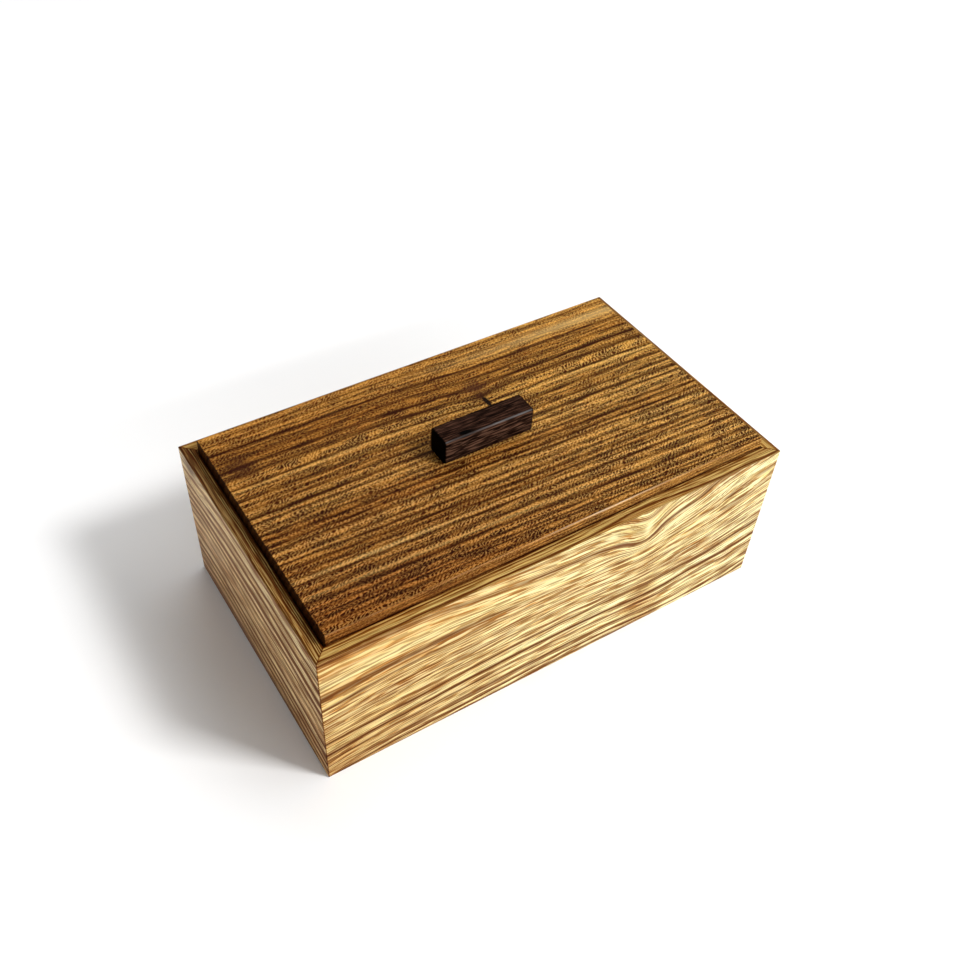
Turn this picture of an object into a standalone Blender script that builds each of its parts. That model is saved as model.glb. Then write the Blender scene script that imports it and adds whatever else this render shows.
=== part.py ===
"""Wooden trinket box with a lift-off lid.

Four mitred boards stand round a thin base panel, with a hidden tongue in each corner. A rebate along the
top of the boards leaves a ledge, on which the lid rests a little proud of the rim. A dark bar on the lid is
the handle, held by two countersunk screws from below. Felt lies on the base.

The origin is on the ground under the middle of the box. X runs along the front, Y to the back and Z up.
"""

import math

import bmesh
import bpy
from mathutils import Vector

# The body, outside
BODY_LENGTH = 0.230
BODY_DEPTH = 0.135
BODY_HEIGHT = 0.080
WALL_THICKNESS = 0.010
EASED_EDGE = 0.0005

# The ledge that the lid rests on
LEDGE_WIDTH = 0.0040
LEDGE_DROP = 0.0047

# The base panel and the groove that holds it, raised so that the walls alone meet the ground
BASE_THICKNESS = 0.0040
BASE_GROOVE_DEPTH = 0.0040
BASE_GROOVE_HEIGHT = 0.0050

# The hidden tongue in each mitre
TONGUE_WIDTH = 0.0080
TONGUE_THICKNESS = 0.0030
TONGUE_INSET = 0.0065
TONGUE_MARGIN = 0.0045

# The lid, which has more room at its ends than along its sides
LID_THICKNESS = 0.0100
LID_END_GAP = 0.0008
LID_SIDE_GAP = 0.0003
LID_EASED_EDGE = 0.0004

# The handle, which sits a little to the left of the lid's middle
HANDLE_LENGTH = 0.0455
HANDLE_WIDTH = 0.0118
HANDLE_HEIGHT = 0.0124
HANDLE_SHIFT = -0.0008
HANDLE_EASED_EDGE = 0.0007

# The two wood screws in the handle
SCREW_LENGTH = 0.0160
SCREW_SHANK_RADIUS = 0.0014
SCREW_HEAD_RADIUS = 0.00275
SCREW_HEAD_DEPTH = 0.0016
SCREW_TIP_LENGTH = 0.0030
SCREW_RECESS = 0.0002
SCREW_INSET = 0.0075
SCREW_SLOT_WIDTH = 0.0007
SCREW_SLOT_DEPTH = 0.0008
SCREW_SEGMENTS = 32

# The felt on the base
FELT_THICKNESS = 0.0015

# Room between pieces that touch on the real box
FIT_GAP = 0.0003
CUTTER_OVERRUN = 0.0010
MERGE_DISTANCE = 0.00001

# Heights that follow from the sizes above
GROOVE_TOP = BASE_GROOVE_HEIGHT + BASE_THICKNESS + 2 * FIT_GAP
BASE_BOTTOM = BASE_GROOVE_HEIGHT + FIT_GAP
BASE_TOP = BASE_BOTTOM + BASE_THICKNESS
FELT_BOTTOM = BASE_TOP + FIT_GAP
LEDGE_HEIGHT = BODY_HEIGHT - LEDGE_DROP
LID_BOTTOM = LEDGE_HEIGHT + FIT_GAP
LID_TOP = LID_BOTTOM + LID_THICKNESS
HANDLE_BOTTOM = LID_TOP + FIT_GAP
SCREW_BOTTOM = LID_BOTTOM + SCREW_RECESS
TONGUE_BOTTOM = GROOVE_TOP + TONGUE_MARGIN
TONGUE_TOP = LEDGE_HEIGHT - TONGUE_MARGIN

# Openings between the walls: at the rebate, at the groove and in the compartment
REBATE_INSET = WALL_THICKNESS - LEDGE_WIDTH
GROOVE_INSET = WALL_THICKNESS - BASE_GROOVE_DEPTH


def clear_scene():
    """Remove every object that the file opens with."""
    for obj in list(bpy.data.objects):
        bpy.data.objects.remove(obj, do_unlink=True)


def make_material(name, colour, roughness, metallic=0.0):
    """Return a Principled material of one plain colour."""
    material = bpy.data.materials.new(name)
    material.use_nodes = True
    shader = material.node_tree.nodes["Principled BSDF"]
    shader.inputs["Base Color"].default_value = (*colour, 1.0)
    shader.inputs["Roughness"].default_value = roughness
    shader.inputs["Metallic"].default_value = metallic
    return material


def add_empty(name, location):
    """Return an empty that carries the pieces of one body."""
    empty = bpy.data.objects.new(name, None)
    empty.location = location
    bpy.context.scene.collection.objects.link(empty)
    return empty


def add_object(name, shape, material, location, parent, turn=0.0):
    """Make an object of a finished bmesh and set it at a place in the box's frame."""
    bmesh.ops.recalc_face_normals(shape, faces=shape.faces)
    mesh = bpy.data.meshes.new(name)
    shape.to_mesh(mesh)
    shape.free()
    obj = bpy.data.objects.new(name, mesh)
    bpy.context.scene.collection.objects.link(obj)
    if material:
        mesh.materials.append(material)
    if parent:
        obj.parent = parent
        location = Vector(location) - parent.location
    obj.location = location
    obj.rotation_euler = (0.0, 0.0, turn)
    return obj


def make_cutter(obj):
    """Mark an object as a tool that only cuts others."""
    obj.hide_render = True
    obj.display_type = "WIRE"
    return obj


def cut(obj, cutter):
    """Take a cutter's shape out of an object."""
    modifier = obj.modifiers.new(cutter.name, "BOOLEAN")
    modifier.operation = "DIFFERENCE"
    modifier.solver = "EXACT"
    modifier.object = cutter


def ease_edges(obj, width):
    """Give the sharp edges of an object a narrow flat."""
    modifier = obj.modifiers.new("eased_edges", "BEVEL")
    modifier.width = width
    modifier.segments = 1
    modifier.limit_method = "ANGLE"


def block_shape(length, depth, height):
    """Return a block that stands on its own origin."""
    shape = bmesh.new()
    bmesh.ops.create_cube(shape, size=1.0)
    bmesh.ops.scale(shape, vec=(length, depth, height), verts=shape.verts)
    bmesh.ops.translate(shape, vec=(0.0, 0.0, height / 2), verts=shape.verts)
    return shape


def turned_shape(profile, segments):
    """Return the solid that a profile of (radius, height) points sweeps round Z, from axis to axis."""
    shape = bmesh.new()
    points = [shape.verts.new((radius, 0.0, height)) for radius, height in profile]
    edges = [shape.edges.new(pair) for pair in zip(points, points[1:])]
    bmesh.ops.spin(
        shape,
        geom=points + edges,
        axis=(0.0, 0.0, 1.0),
        cent=(0.0, 0.0, 0.0),
        angle=math.tau,
        steps=segments,
        use_duplicate=False,
    )
    bmesh.ops.remove_doubles(shape, verts=shape.verts, dist=MERGE_DISTANCE)
    return shape


def wall_profile():
    """Return the cross-section of a wall as points of (distance from the outer face, height)."""
    return [
        (EASED_EDGE, 0.0),
        (WALL_THICKNESS, 0.0),
        (WALL_THICKNESS, BASE_GROOVE_HEIGHT),
        (GROOVE_INSET, BASE_GROOVE_HEIGHT),
        (GROOVE_INSET, GROOVE_TOP),
        (WALL_THICKNESS, GROOVE_TOP),
        (WALL_THICKNESS, LEDGE_HEIGHT),
        (REBATE_INSET, LEDGE_HEIGHT),
        (REBATE_INSET, BODY_HEIGHT),
        (EASED_EDGE, BODY_HEIGHT),
        (0.0, BODY_HEIGHT - EASED_EDGE),
        (0.0, EASED_EDGE),
    ]


def trim(shape, point, normal):
    """Saw off what lies beyond a plane and close the cut."""
    geometry = shape.verts[:] + shape.edges[:] + shape.faces[:]
    sawn = bmesh.ops.bisect_plane(
        shape,
        geom=geometry,
        dist=0.0,
        plane_co=point,
        plane_no=normal,
        clear_outer=True,
    )
    rim = [item for item in sawn["geom_cut"] if isinstance(item, bmesh.types.BMEdge)]
    bmesh.ops.holes_fill(shape, edges=rim)


def wall_shape(length):
    """Return a board along X, its outer face at Y = 0, with a mitre and an eased corner at each end."""
    shape = bmesh.new()
    outline = [shape.verts.new((-length / 2, inset, height)) for inset, height in wall_profile()]
    end = shape.faces.new(outline)
    run = bmesh.ops.extrude_face_region(shape, geom=[end])
    far_end = [item for item in run["geom"] if isinstance(item, bmesh.types.BMVert)]
    bmesh.ops.translate(shape, vec=(length, 0.0, 0.0), verts=far_end)
    half_gap = FIT_GAP / 2 * math.sqrt(2)
    for side in (-1, 1):
        trim(shape, (side * (length / 2 - half_gap), 0.0, 0.0), (side, 1.0, 0.0))
        trim(shape, (side * (length / 2 - EASED_EDGE), 0.0, 0.0), (side, -1.0, 0.0))
    return shape


def make_walls(body, wood):
    """Make the four walls, each turned so that its outer face looks outwards."""
    half_length = BODY_LENGTH / 2
    half_depth = BODY_DEPTH / 2
    places = {
        "front_wall": (BODY_LENGTH, (0.0, -half_depth, 0.0), 0.0),
        "right_wall": (BODY_DEPTH, (half_length, 0.0, 0.0), math.pi / 2),
        "back_wall": (BODY_LENGTH, (0.0, half_depth, 0.0), math.pi),
        "left_wall": (BODY_DEPTH, (-half_length, 0.0, 0.0), -math.pi / 2),
    }
    walls = {}
    for name, (length, location, turn) in places.items():
        walls[name] = add_object(name, wall_shape(length), wood, location, body, turn)
    return walls


def tongue_object(name, side_x, side_y, clearance, material, body):
    """Make the tongue of one corner, or with a clearance the slot that takes it."""
    shape = block_shape(
        TONGUE_WIDTH + 2 * clearance,
        TONGUE_THICKNESS + 2 * clearance,
        TONGUE_TOP - TONGUE_BOTTOM + 2 * clearance,
    )
    location = (
        side_x * (BODY_LENGTH / 2 - TONGUE_INSET),
        side_y * (BODY_DEPTH / 2 - TONGUE_INSET),
        TONGUE_BOTTOM - clearance,
    )
    across_mitre = math.atan2(side_x, -side_y)
    return add_object(name, shape, material, location, body, across_mitre)


def make_tongues(body, wood, walls):
    """Make the four tongues and slot the two walls that each one joins."""
    for y_name, side_y in (("front", -1), ("back", 1)):
        for x_name, side_x in (("left", -1), ("right", 1)):
            name = f"{y_name}_{x_name}_tongue"
            tongue_object(name, side_x, side_y, 0.0, wood, body)
            slot = make_cutter(tongue_object(f"{name}_slot", side_x, side_y, FIT_GAP, None, body))
            cut(walls[f"{y_name}_wall"], slot)
            cut(walls[f"{x_name}_wall"], slot)


def make_base(body, wood):
    """Make the base panel, which reaches into the groove on all sides."""
    inset = GROOVE_INSET + FIT_GAP
    shape = block_shape(BODY_LENGTH - 2 * inset, BODY_DEPTH - 2 * inset, BASE_THICKNESS)
    add_object("base_panel", shape, wood, (0.0, 0.0, BASE_BOTTOM), body)


def make_lining(body, felt):
    """Make the felt that lies on the base between the walls."""
    inset = WALL_THICKNESS + FIT_GAP
    shape = block_shape(BODY_LENGTH - 2 * inset, BODY_DEPTH - 2 * inset, FELT_THICKNESS)
    add_object("felt_lining", shape, felt, (0.0, 0.0, FELT_BOTTOM), body)


def make_lid(lift, wood):
    """Make the lid panel, which drops into the rebate."""
    length = BODY_LENGTH - 2 * (REBATE_INSET + LID_END_GAP)
    depth = BODY_DEPTH - 2 * (REBATE_INSET + LID_SIDE_GAP)
    shape = block_shape(length, depth, LID_THICKNESS)
    lid = add_object("lid_panel", shape, wood, (0.0, 0.0, LID_BOTTOM), lift)
    ease_edges(lid, LID_EASED_EDGE)
    return lid


def make_handle(lift, wood):
    """Make the bar that the lid is lifted by."""
    shape = block_shape(HANDLE_LENGTH, HANDLE_WIDTH, HANDLE_HEIGHT)
    handle = add_object("handle", shape, wood, (HANDLE_SHIFT, 0.0, HANDLE_BOTTOM), lift)
    ease_edges(handle, HANDLE_EASED_EDGE)
    return handle


def screw_profile(clearance):
    """Return a screw's half-outline from its head up to its tip, or that of its hole with a clearance."""
    head = SCREW_HEAD_RADIUS + clearance
    shank = SCREW_SHANK_RADIUS + clearance
    profile = [(0.0, 0.0), (head, 0.0)]
    if clearance:
        below = SCREW_RECESS + CUTTER_OVERRUN
        profile = [(0.0, -below), (head, -below), (head, 0.0)]
    return profile + [
        (shank, SCREW_HEAD_DEPTH),
        (shank, SCREW_LENGTH - SCREW_TIP_LENGTH),
        (0.0, SCREW_LENGTH + clearance),
    ]


def make_screws(lift, brass, lid, handle):
    """Make the two screws, their driver slots and the holes that they pass through."""
    for name, side in (("handle_screw_left", -1), ("handle_screw_right", 1)):
        place = (HANDLE_SHIFT + side * (HANDLE_LENGTH / 2 - SCREW_INSET), 0.0, SCREW_BOTTOM)
        screw = add_object(name, turned_shape(screw_profile(0.0), SCREW_SEGMENTS), brass, place, lift)
        hole_shape = turned_shape(screw_profile(FIT_GAP), SCREW_SEGMENTS)
        hole = make_cutter(add_object(f"{name}_hole", hole_shape, None, place, lift))
        cut(lid, hole)
        cut(handle, hole)
        slot_length = 2 * (SCREW_HEAD_RADIUS + CUTTER_OVERRUN)
        slot_height = SCREW_SLOT_DEPTH + CUTTER_OVERRUN
        slot_shape = block_shape(slot_length, SCREW_SLOT_WIDTH, slot_height)
        slot_place = (place[0], place[1], place[2] - CUTTER_OVERRUN)
        cut(screw, make_cutter(add_object(f"{name}_slot", slot_shape, None, slot_place, lift)))


def main():
    """Build the box and its lid."""
    clear_scene()
    figured_wood = make_material("figured_wood", (0.42, 0.22, 0.075), 0.42)
    lid_wood = make_material("lid_wood", (0.28, 0.13, 0.042), 0.40)
    dark_wood = make_material("dark_wood", (0.030, 0.014, 0.009), 0.45)
    pale_wood = make_material("pale_wood", (0.62, 0.45, 0.27), 0.60)
    brass = make_material("brass", (0.72, 0.50, 0.20), 0.30, 1.0)
    felt = make_material("felt", (0.050, 0.070, 0.045), 0.95)

    body = add_empty("body", (0.0, 0.0, 0.0))
    walls = make_walls(body, figured_wood)
    make_tongues(body, pale_wood, walls)
    make_base(body, pale_wood)
    make_lining(body, felt)

    lift = add_empty("lid_lift", (0.0, 0.0, LID_BOTTOM))
    lid = make_lid(lift, lid_wood)
    handle = make_handle(lift, dark_wood)
    make_screws(lift, brass, lid, handle)


main()
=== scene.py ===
"""Looks of a wooden trinket box with a lift-off lid: finely shaped boards, lid, handle, screws and felt.

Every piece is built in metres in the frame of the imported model, X along the front, Y to the back and Z up,
and is dressed in a procedural finish. Wood is shaded as a solid, from the course of its growth rings.
"""

import logging
import math
from collections.abc import Callable, Iterator
from contextlib import contextmanager
from dataclasses import dataclass, field
from enum import Enum
from typing import Union

import bmesh
import bpy
from mathutils import Euler, Matrix, Vector, noise


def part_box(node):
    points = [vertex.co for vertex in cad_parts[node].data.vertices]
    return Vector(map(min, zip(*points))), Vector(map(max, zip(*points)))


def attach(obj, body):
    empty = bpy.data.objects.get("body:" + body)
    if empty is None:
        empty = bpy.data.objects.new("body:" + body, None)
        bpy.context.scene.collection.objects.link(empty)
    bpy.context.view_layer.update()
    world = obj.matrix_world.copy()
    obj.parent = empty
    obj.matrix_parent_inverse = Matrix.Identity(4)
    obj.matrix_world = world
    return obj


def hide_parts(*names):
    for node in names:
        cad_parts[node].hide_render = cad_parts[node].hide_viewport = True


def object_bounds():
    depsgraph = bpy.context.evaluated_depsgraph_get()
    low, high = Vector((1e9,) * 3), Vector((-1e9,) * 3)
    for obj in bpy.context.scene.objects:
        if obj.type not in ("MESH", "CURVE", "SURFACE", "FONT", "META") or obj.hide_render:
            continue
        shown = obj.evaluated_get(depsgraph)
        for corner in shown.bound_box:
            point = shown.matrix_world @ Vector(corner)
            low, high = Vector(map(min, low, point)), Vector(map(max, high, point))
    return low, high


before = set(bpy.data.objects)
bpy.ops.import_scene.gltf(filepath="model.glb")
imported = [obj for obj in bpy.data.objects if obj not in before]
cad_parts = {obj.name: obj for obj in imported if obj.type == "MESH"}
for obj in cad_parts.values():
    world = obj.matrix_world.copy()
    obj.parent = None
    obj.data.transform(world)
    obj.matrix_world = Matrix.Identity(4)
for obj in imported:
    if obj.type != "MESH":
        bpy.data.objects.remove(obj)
CAD_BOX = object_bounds()

LOG = logging.getLogger("trinket_box")
BOX_BODY = "box"
LID_BODY = "lid"

Colour = tuple[float, float, float]
Point = tuple[float, float, float]
Course = tuple[tuple[float, float], ...]
Number = Union["Signal", float]
Socket = bpy.types.NodeSocket

WHITE = (1.0, 1.0, 1.0)
UNIT = (1.0, 1.0, 1.0)
UPRIGHT = Vector((0.0, 0.0, 1.0))
PLACE_TOLERANCE = 0.00002
SMOOTH_ANGLE = math.radians(35)
FLAT_ANGLE = math.radians(1)
CURVE_FLOOR = 0.5
CURVE_SPAN = 2.0
KNOTS_PER_RAMP = 30
MIX_FIRST_COLOUR = 6
MIX_SECOND_COLOUR = 7
MIX_COLOUR_RESULT = 2


class Signal:
    """A number on a shader socket, whose operators add Math nodes to its tree."""

    def __init__(self, tree: "ShaderTree", socket: Socket) -> None:
        """Wrap one output socket of a tree."""
        self.tree = tree
        self.socket = socket

    def __add__(self, other: Number) -> "Signal":
        """Return the sum."""
        return self.tree.math("ADD", self, other)

    def __sub__(self, other: Number) -> "Signal":
        """Return the difference."""
        return self.tree.math("SUBTRACT", self, other)

    def __rsub__(self, other: Number) -> "Signal":
        """Return the difference from another number."""
        return self.tree.math("SUBTRACT", other, self)

    def __mul__(self, other: Number) -> "Signal":
        """Return the product."""
        return self.tree.math("MULTIPLY", self, other)

    def __truediv__(self, other: Number) -> "Signal":
        """Return the quotient."""
        return self.tree.math("DIVIDE", self, other)

    def __abs__(self) -> "Signal":
        """Return the size without its sign."""
        return self.tree.math("ABSOLUTE", self)

    __radd__ = __add__
    __rmul__ = __mul__

    def least(self, other: Number) -> "Signal":
        """Return the smaller of two numbers."""
        return self.tree.math("MINIMUM", self, other)

    def most(self, other: Number) -> "Signal":
        """Return the larger of two numbers."""
        return self.tree.math("MAXIMUM", self, other)

    def clamped(self) -> "Signal":
        """Return the number kept between 0 and 1."""
        return self.most(0.0).least(1.0)

    def rise(self, low: float, high: float) -> "Signal":
        """Return a smooth step from 0 at low to 1 at high."""
        sockets = {"Value": self, "From Min": low, "From Max": high}
        node = self.tree.add("ShaderNodeMapRange", {"interpolation_type": "SMOOTHSTEP"}, sockets)
        return Signal(self.tree, node.outputs["Result"])

    def fading(self) -> "Signal":
        """Return e to the power of minus the number."""
        return self.tree.math("EXPONENT", self * -1.0)


class ShaderTree:
    """The node tree of a material or a world, built up from Python expressions."""

    def __init__(self, owner: bpy.types.Material | bpy.types.World) -> None:
        """Empty the tree of a material or a world."""
        owner.use_nodes = True
        self.owner = owner
        self.nodes = owner.node_tree.nodes
        self.links = owner.node_tree.links
        self.nodes.clear()

    @classmethod
    def of_material(cls, name: str) -> "ShaderTree":
        """Start the tree of a new material."""
        return cls(bpy.data.materials.new(name))

    def add(self, kind: str, settings: dict | None = None, sockets: dict | None = None) -> bpy.types.Node:
        """Add a node.

        Args:
            kind: The node's type.
            settings: Properties of the node, with "stops" for a ramp and "points" for a curve.
            sockets: Values or links for its inputs, by name or index.

        Returns:
            The node.
        """
        node = self.nodes.new(kind)
        for key, value in (settings or {}).items():
            if key == "stops":
                self._set_stops(node, value)
            elif key == "points":
                self._set_points(node, value)
            else:
                setattr(node, key, value)
        for key, value in (sockets or {}).items():
            self._feed(node.inputs[key], value)
        return node

    def _feed(self, entry: Socket, value: "Signal | Socket | float | tuple") -> None:
        """Link a socket to another, or give it a value.

        Args:
            entry: The input socket.
            value: What feeds it.
        """
        if isinstance(value, Signal):
            self.links.new(value.socket, entry)
        elif isinstance(value, Socket):
            self.links.new(value, entry)
        elif entry.type == "RGBA":
            entry.default_value = (*value, 1.0)
        else:
            entry.default_value = value

    @staticmethod
    def _set_stops(node: bpy.types.Node, stops: list[tuple[float, float]]) -> None:
        """Give a ramp its stops, with an eased course between them.

        Args:
            node: The ramp.
            stops: A place and a grey level for each stop.
        """
        node.color_ramp.interpolation = "EASE"
        elements = node.color_ramp.elements
        while len(elements) > 1:
            elements.remove(elements[-1])
        for index, (place, level) in enumerate(stops):
            element = elements[0] if index == 0 else elements.new(place)
            element.position = place
            element.color = (level, level, level, 1.0)

    @staticmethod
    def _set_points(node: bpy.types.Node, points: list[tuple[float, float]]) -> None:
        """Give a float curve its points.

        Args:
            node: The curve.
            points: A place and a level for each point.
        """
        curve = node.mapping.curves[0]
        for index, point in enumerate(points):
            if index < 2:
                curve.points[index].location = point
            else:
                curve.points.new(*point)
        node.mapping.update()

    def math(self, operation: str, first: Number, second: Number | None = None) -> Signal:
        """Return the result of one Math operation."""
        values = {0: first} if second is None else {0: first, 1: second}
        return Signal(self, self.add("ShaderNodeMath", {"operation": operation}, values).outputs[0])

    def vector(self, operation: str, first: "Socket | Point", second: "Socket | Point") -> bpy.types.Node:
        """Return a Vector Math node on two vectors."""
        return self.add("ShaderNodeVectorMath", {"operation": operation}, {0: first, 1: second})

    def dot(self, first: "Socket | Point", second: Point) -> Signal:
        """Return how far a vector reaches in a direction."""
        return Signal(self, self.vector("DOT_PRODUCT", first, second).outputs["Value"])

    def place(self) -> Socket:
        """Return where the shaded point lies on the object, in metres."""
        return self.add("ShaderNodeTexCoord").outputs["Object"]

    def joined(self, along: Number, down: Number, inward: Number) -> Socket:
        """Return a vector made of three numbers."""
        return self.add("ShaderNodeCombineXYZ", {}, {0: along, 1: down, 2: inward}).outputs[0]

    def curve(self, along: Signal, course: Course) -> Signal:
        """Return a drawn curve's level.

        Args:
            along: Where to read the curve, from 0 to 1.
            course: Points of the curve, as (along, level), with levels from -0.5 to 1.5.

        Returns:
            The level there.
        """
        points = [(place, (level + CURVE_FLOOR) / CURVE_SPAN) for place, level in course]
        node = self.add("ShaderNodeFloatCurve", {"points": points}, {"Value": along})
        return Signal(self, node.outputs[0]) * CURVE_SPAN - CURVE_FLOOR

    def levels(self, at: Signal, knots: Course) -> Signal:
        """Return a level from -1 to 1 that rises and falls between knots.

        Args:
            at: Where to read it.
            knots: Pairs of (place, level), in the order of their places.

        Returns:
            The level there, which stays at the end levels beyond the knots.
        """
        total = None
        for start in range(0, len(knots) - 1, KNOTS_PER_RAMP - 1):
            part = knots[start:start + KNOTS_PER_RAMP]
            low = part[0][0]
            span = part[-1][0] - low
            stops = [((place - low) / span, 0.5 + 0.5 * level) for place, level in part]
            node = self.add("ShaderNodeValToRGB", {"stops": stops}, {"Fac": (at - low) / span})
            value = Signal(self, node.outputs["Color"])
            total = value if total is None else total + value - stops[0][1]
        return total * 2.0 - 1.0

    def grey_noise(self, grain: Socket, per_metre: Point, detail: float = 2.0, seed: float = 0.0) -> Signal:
        """Return soft random variation from 0 to 1.

        Args:
            grain: The vector that the noise is read at, in metres.
            per_metre: How many blotches lie on a metre each way.
            detail: The octaves of finer noise.
            seed: An offset that gives another draw.

        Returns:
            The noise.
        """
        values = {0: grain, 1: per_metre, 2: (seed, seed, seed)}
        stretched = self.add("ShaderNodeVectorMath", {"operation": "MULTIPLY_ADD"}, values).outputs[0]
        sockets = {"Vector": stretched, "Scale": 1.0, "Detail": detail}
        return Signal(self, self.add("ShaderNodeTexNoise", {"noise_dimensions": "3D"}, sockets).outputs[0])

    def mix(
        self, first: "Socket | Colour", second: "Socket | Colour", factor: Number, blend: str = "MIX"
    ) -> Socket:
        """Return two colours mixed by a factor."""
        values = {0: factor, MIX_FIRST_COLOUR: first, MIX_SECOND_COLOUR: second}
        node = self.add("ShaderNodeMix", {"data_type": "RGBA", "blend_type": blend}, values)
        return node.outputs[MIX_COLOUR_RESULT]

    def bump(self, height: Signal, depth: float) -> Socket:
        """Return a normal that follows a height from 0 to 1, over a depth in metres."""
        return self.add("ShaderNodeBump", {}, {"Height": height, "Distance": depth}).outputs[0]

    def finish(self, shader: bpy.types.Node, output: str = "ShaderNodeOutputMaterial") -> bpy.types.ID:
        """Wire a shader to the output and return the material or the world."""
        self.add(output, {}, {"Surface": shader.outputs[0]})
        return self.owner

    def principled(self, sockets: dict) -> bpy.types.Material:
        """Finish with a principled shader that has these sockets, and return the material."""
        return self.finish(self.add("ShaderNodeBsdfPrincipled", {}, sockets))


EDGE_SPAN = 0.010
EDGE_TONES = (
    (0.00, 0.1), (0.05, 0.5), (0.09, 1.0), (0.14, 0.7), (0.19, -0.9), (0.27, -1.0), (0.32, 0.6), (0.37, -0.9),
    (0.43, 0.4), (0.475, 1.0), (0.515, -0.6), (0.545, -0.3), (0.585, 1.0), (0.66, 1.0),
)


@dataclass(frozen=True)
class GuideRing:
    """A growth ring whose course over the board is drawn.

    Attributes:
        place: The ring's share of the board's height at the middle of its length.
        course: Points of (share of the length, share of the height).
    """

    place: float
    course: Course


@dataclass(frozen=True)
class Patch:
    """A soft spot on a board.

    Attributes:
        place: Its middle, as (share of the length, place among the rings).
        reach: How far it reaches from there, in the same measures.
        colour: What the wood's colour is multiplied by, or the colour that covers it.
        strength: How fully it shows in the middle.
        above: Whether the colour covers the wood.
    """

    place: tuple[float, float]
    reach: tuple[float, float]
    colour: Colour
    strength: float
    above: bool = False

    def cover(self, share: Signal, level: Signal) -> Signal:
        """Return how fully the spot shows at a place."""
        along = (share - self.place[0]) / self.reach[0]
        across = (level - self.place[1]) / self.reach[1]
        return (along * along + across * across).fading() * self.strength


@dataclass(frozen=True)
class Fade(Patch):
    """A soft spot where the rings' lines break up, or where the strewn marks fade."""

    colour: Colour = WHITE
    strength: float = 0.7


@dataclass(frozen=True)
class Figure:
    """The figure of one board.

    Attributes:
        guides: Rings with a drawn course, from the top down.
        tones: How dark the wood is from ring to ring, as (place among the rings, tone from -1 to 1).
        patches: Spots of other colours.
        fades: Spots where the lines break up.
        calms: Spots where the strewn marks fade.
        edge_tones: The same tones on the narrow long edges, by depth as a share of EDGE_SPAN.
        edge_course: How far the edges' lines wander along the length, as such a share.
        edge_patches: Spots on the edges, with such a share as their place across.
        tilt: How far the rings lean through the thickness, as a slope.
        sway: How far the rings wander at random, in metres.
        bite: How strongly the strewn marks show.
        contrast: How strongly the rings show.
        tint: What the board's colours are multiplied by.
        seed: An offset of the random grain.
    """

    guides: tuple[GuideRing, ...]
    tones: Course
    patches: tuple[Patch, ...] = ()
    fades: tuple[Fade, ...] = ()
    calms: tuple[Fade, ...] = ()
    edge_tones: Course = EDGE_TONES
    edge_course: Course = ()
    edge_patches: tuple[Patch, ...] = ()
    tilt: float = 0.6
    sway: float = 0.0022
    bite: float = 1.0
    contrast: float = 1.0
    tint: Colour = WHITE
    seed: float = 0.0


@dataclass(frozen=True)
class BoardPlace:
    """Where a board lies, and which ways its grain, height and thickness run.

    Attributes:
        corner: The corner that the shares are counted from.
        along: Direction of the grain.
        down: Direction across the grain on the outer face.
        inward: Direction into the board from the outer face.
        length: Size along the grain.
        height: Size across the grain.
        mitred: Whether the ends are mitred.
        arris_low: Whether the long edge that takes the arris colour is the one far from the corner.
    """

    corner: Point
    along: Point
    down: Point
    inward: Point
    length: float
    height: float
    mitred: bool = False
    arris_low: bool = False


@dataclass(frozen=True)
class WoodPoint:
    """Where a shaded point lies in its board.

    Attributes:
        along: Place along the grain, in metres.
        share: The same as a share of the length.
        down: Place across the grain on the outer face.
        inward: Depth from the outer face.
        on_edge: 1 on the narrow long edges, 0 elsewhere.
        label: Place among the rings, as a share of the height.
        across: The same in metres.
        depth: Place among the lines of the edges, as a share of EDGE_SPAN.
        slow_streaks: Slow streaks from 0 to 1 along the grain.
    """

    along: Signal
    share: Signal
    down: Signal
    inward: Signal
    on_edge: Signal
    label: Signal
    across: Signal
    depth: Signal
    slow_streaks: Signal


@dataclass(frozen=True)
class Mark:
    """The marks on one side of a strewn noise.

    Attributes:
        colour: Their colour.
        span: Levels of the noise at which a mark starts and is full, falling on the noise's low side.
        strength: How fully the marks cover.
        pull: How much stronger they get in dark rings, or below 0 in light ones.
        tide: How far they fade where the slow bands ebb.
        lift: How far they stand out of the surface, or lie in it.
    """

    colour: Colour
    span: tuple[float, float]
    strength: float
    pull: float = 0.0
    tide: float = 0.0
    lift: float = 0.0


@dataclass(frozen=True)
class GrainLayer:
    """Dark and light marks that one noise strews over the wood.

    Attributes:
        size: Length of a mark along the grain and its height across it, in metres.
        dark: The dark marks.
        light: The light marks.
        detail: Octaves of finer noise.
        seed: An offset of the noise.
        lean: Slope of a hatch against the grain.
        pitch: Spacing of the hatch along the grain, or 0 for plain marks.
    """

    size: tuple[float, float]
    dark: Mark
    light: Mark
    detail: float = 0.0
    seed: float = 0.0
    lean: float = 0.0
    pitch: float = 0.0

    OBLIQUE = 0.6
    HATCH_BEND = 2.2

    def level(self, tree: ShaderTree, point: WoodPoint, seed: float) -> Signal:
        """Return the noise that strews the marks.

        Args:
            tree: The material's tree.
            point: The shaded point.
            seed: The board's own offset of the noise.

        Returns:
            The noise, from 0 to 1.
        """
        length, height = self.size
        slant = point.across * self.OBLIQUE + point.along * (self.OBLIQUE * height / length)
        grain = tree.joined(point.along, point.across, point.inward + slant)
        cells = (1.0 / length, 1.0 / height, 1.0 / height)
        value = tree.grey_noise(grain, cells, self.detail, seed + self.seed)
        if self.pitch:
            turns = (point.along + point.across * self.lean) / self.pitch + value * self.HATCH_BEND
            value = tree.math("SINE", turns * math.tau) * 0.5 + 0.5
        return value


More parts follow.
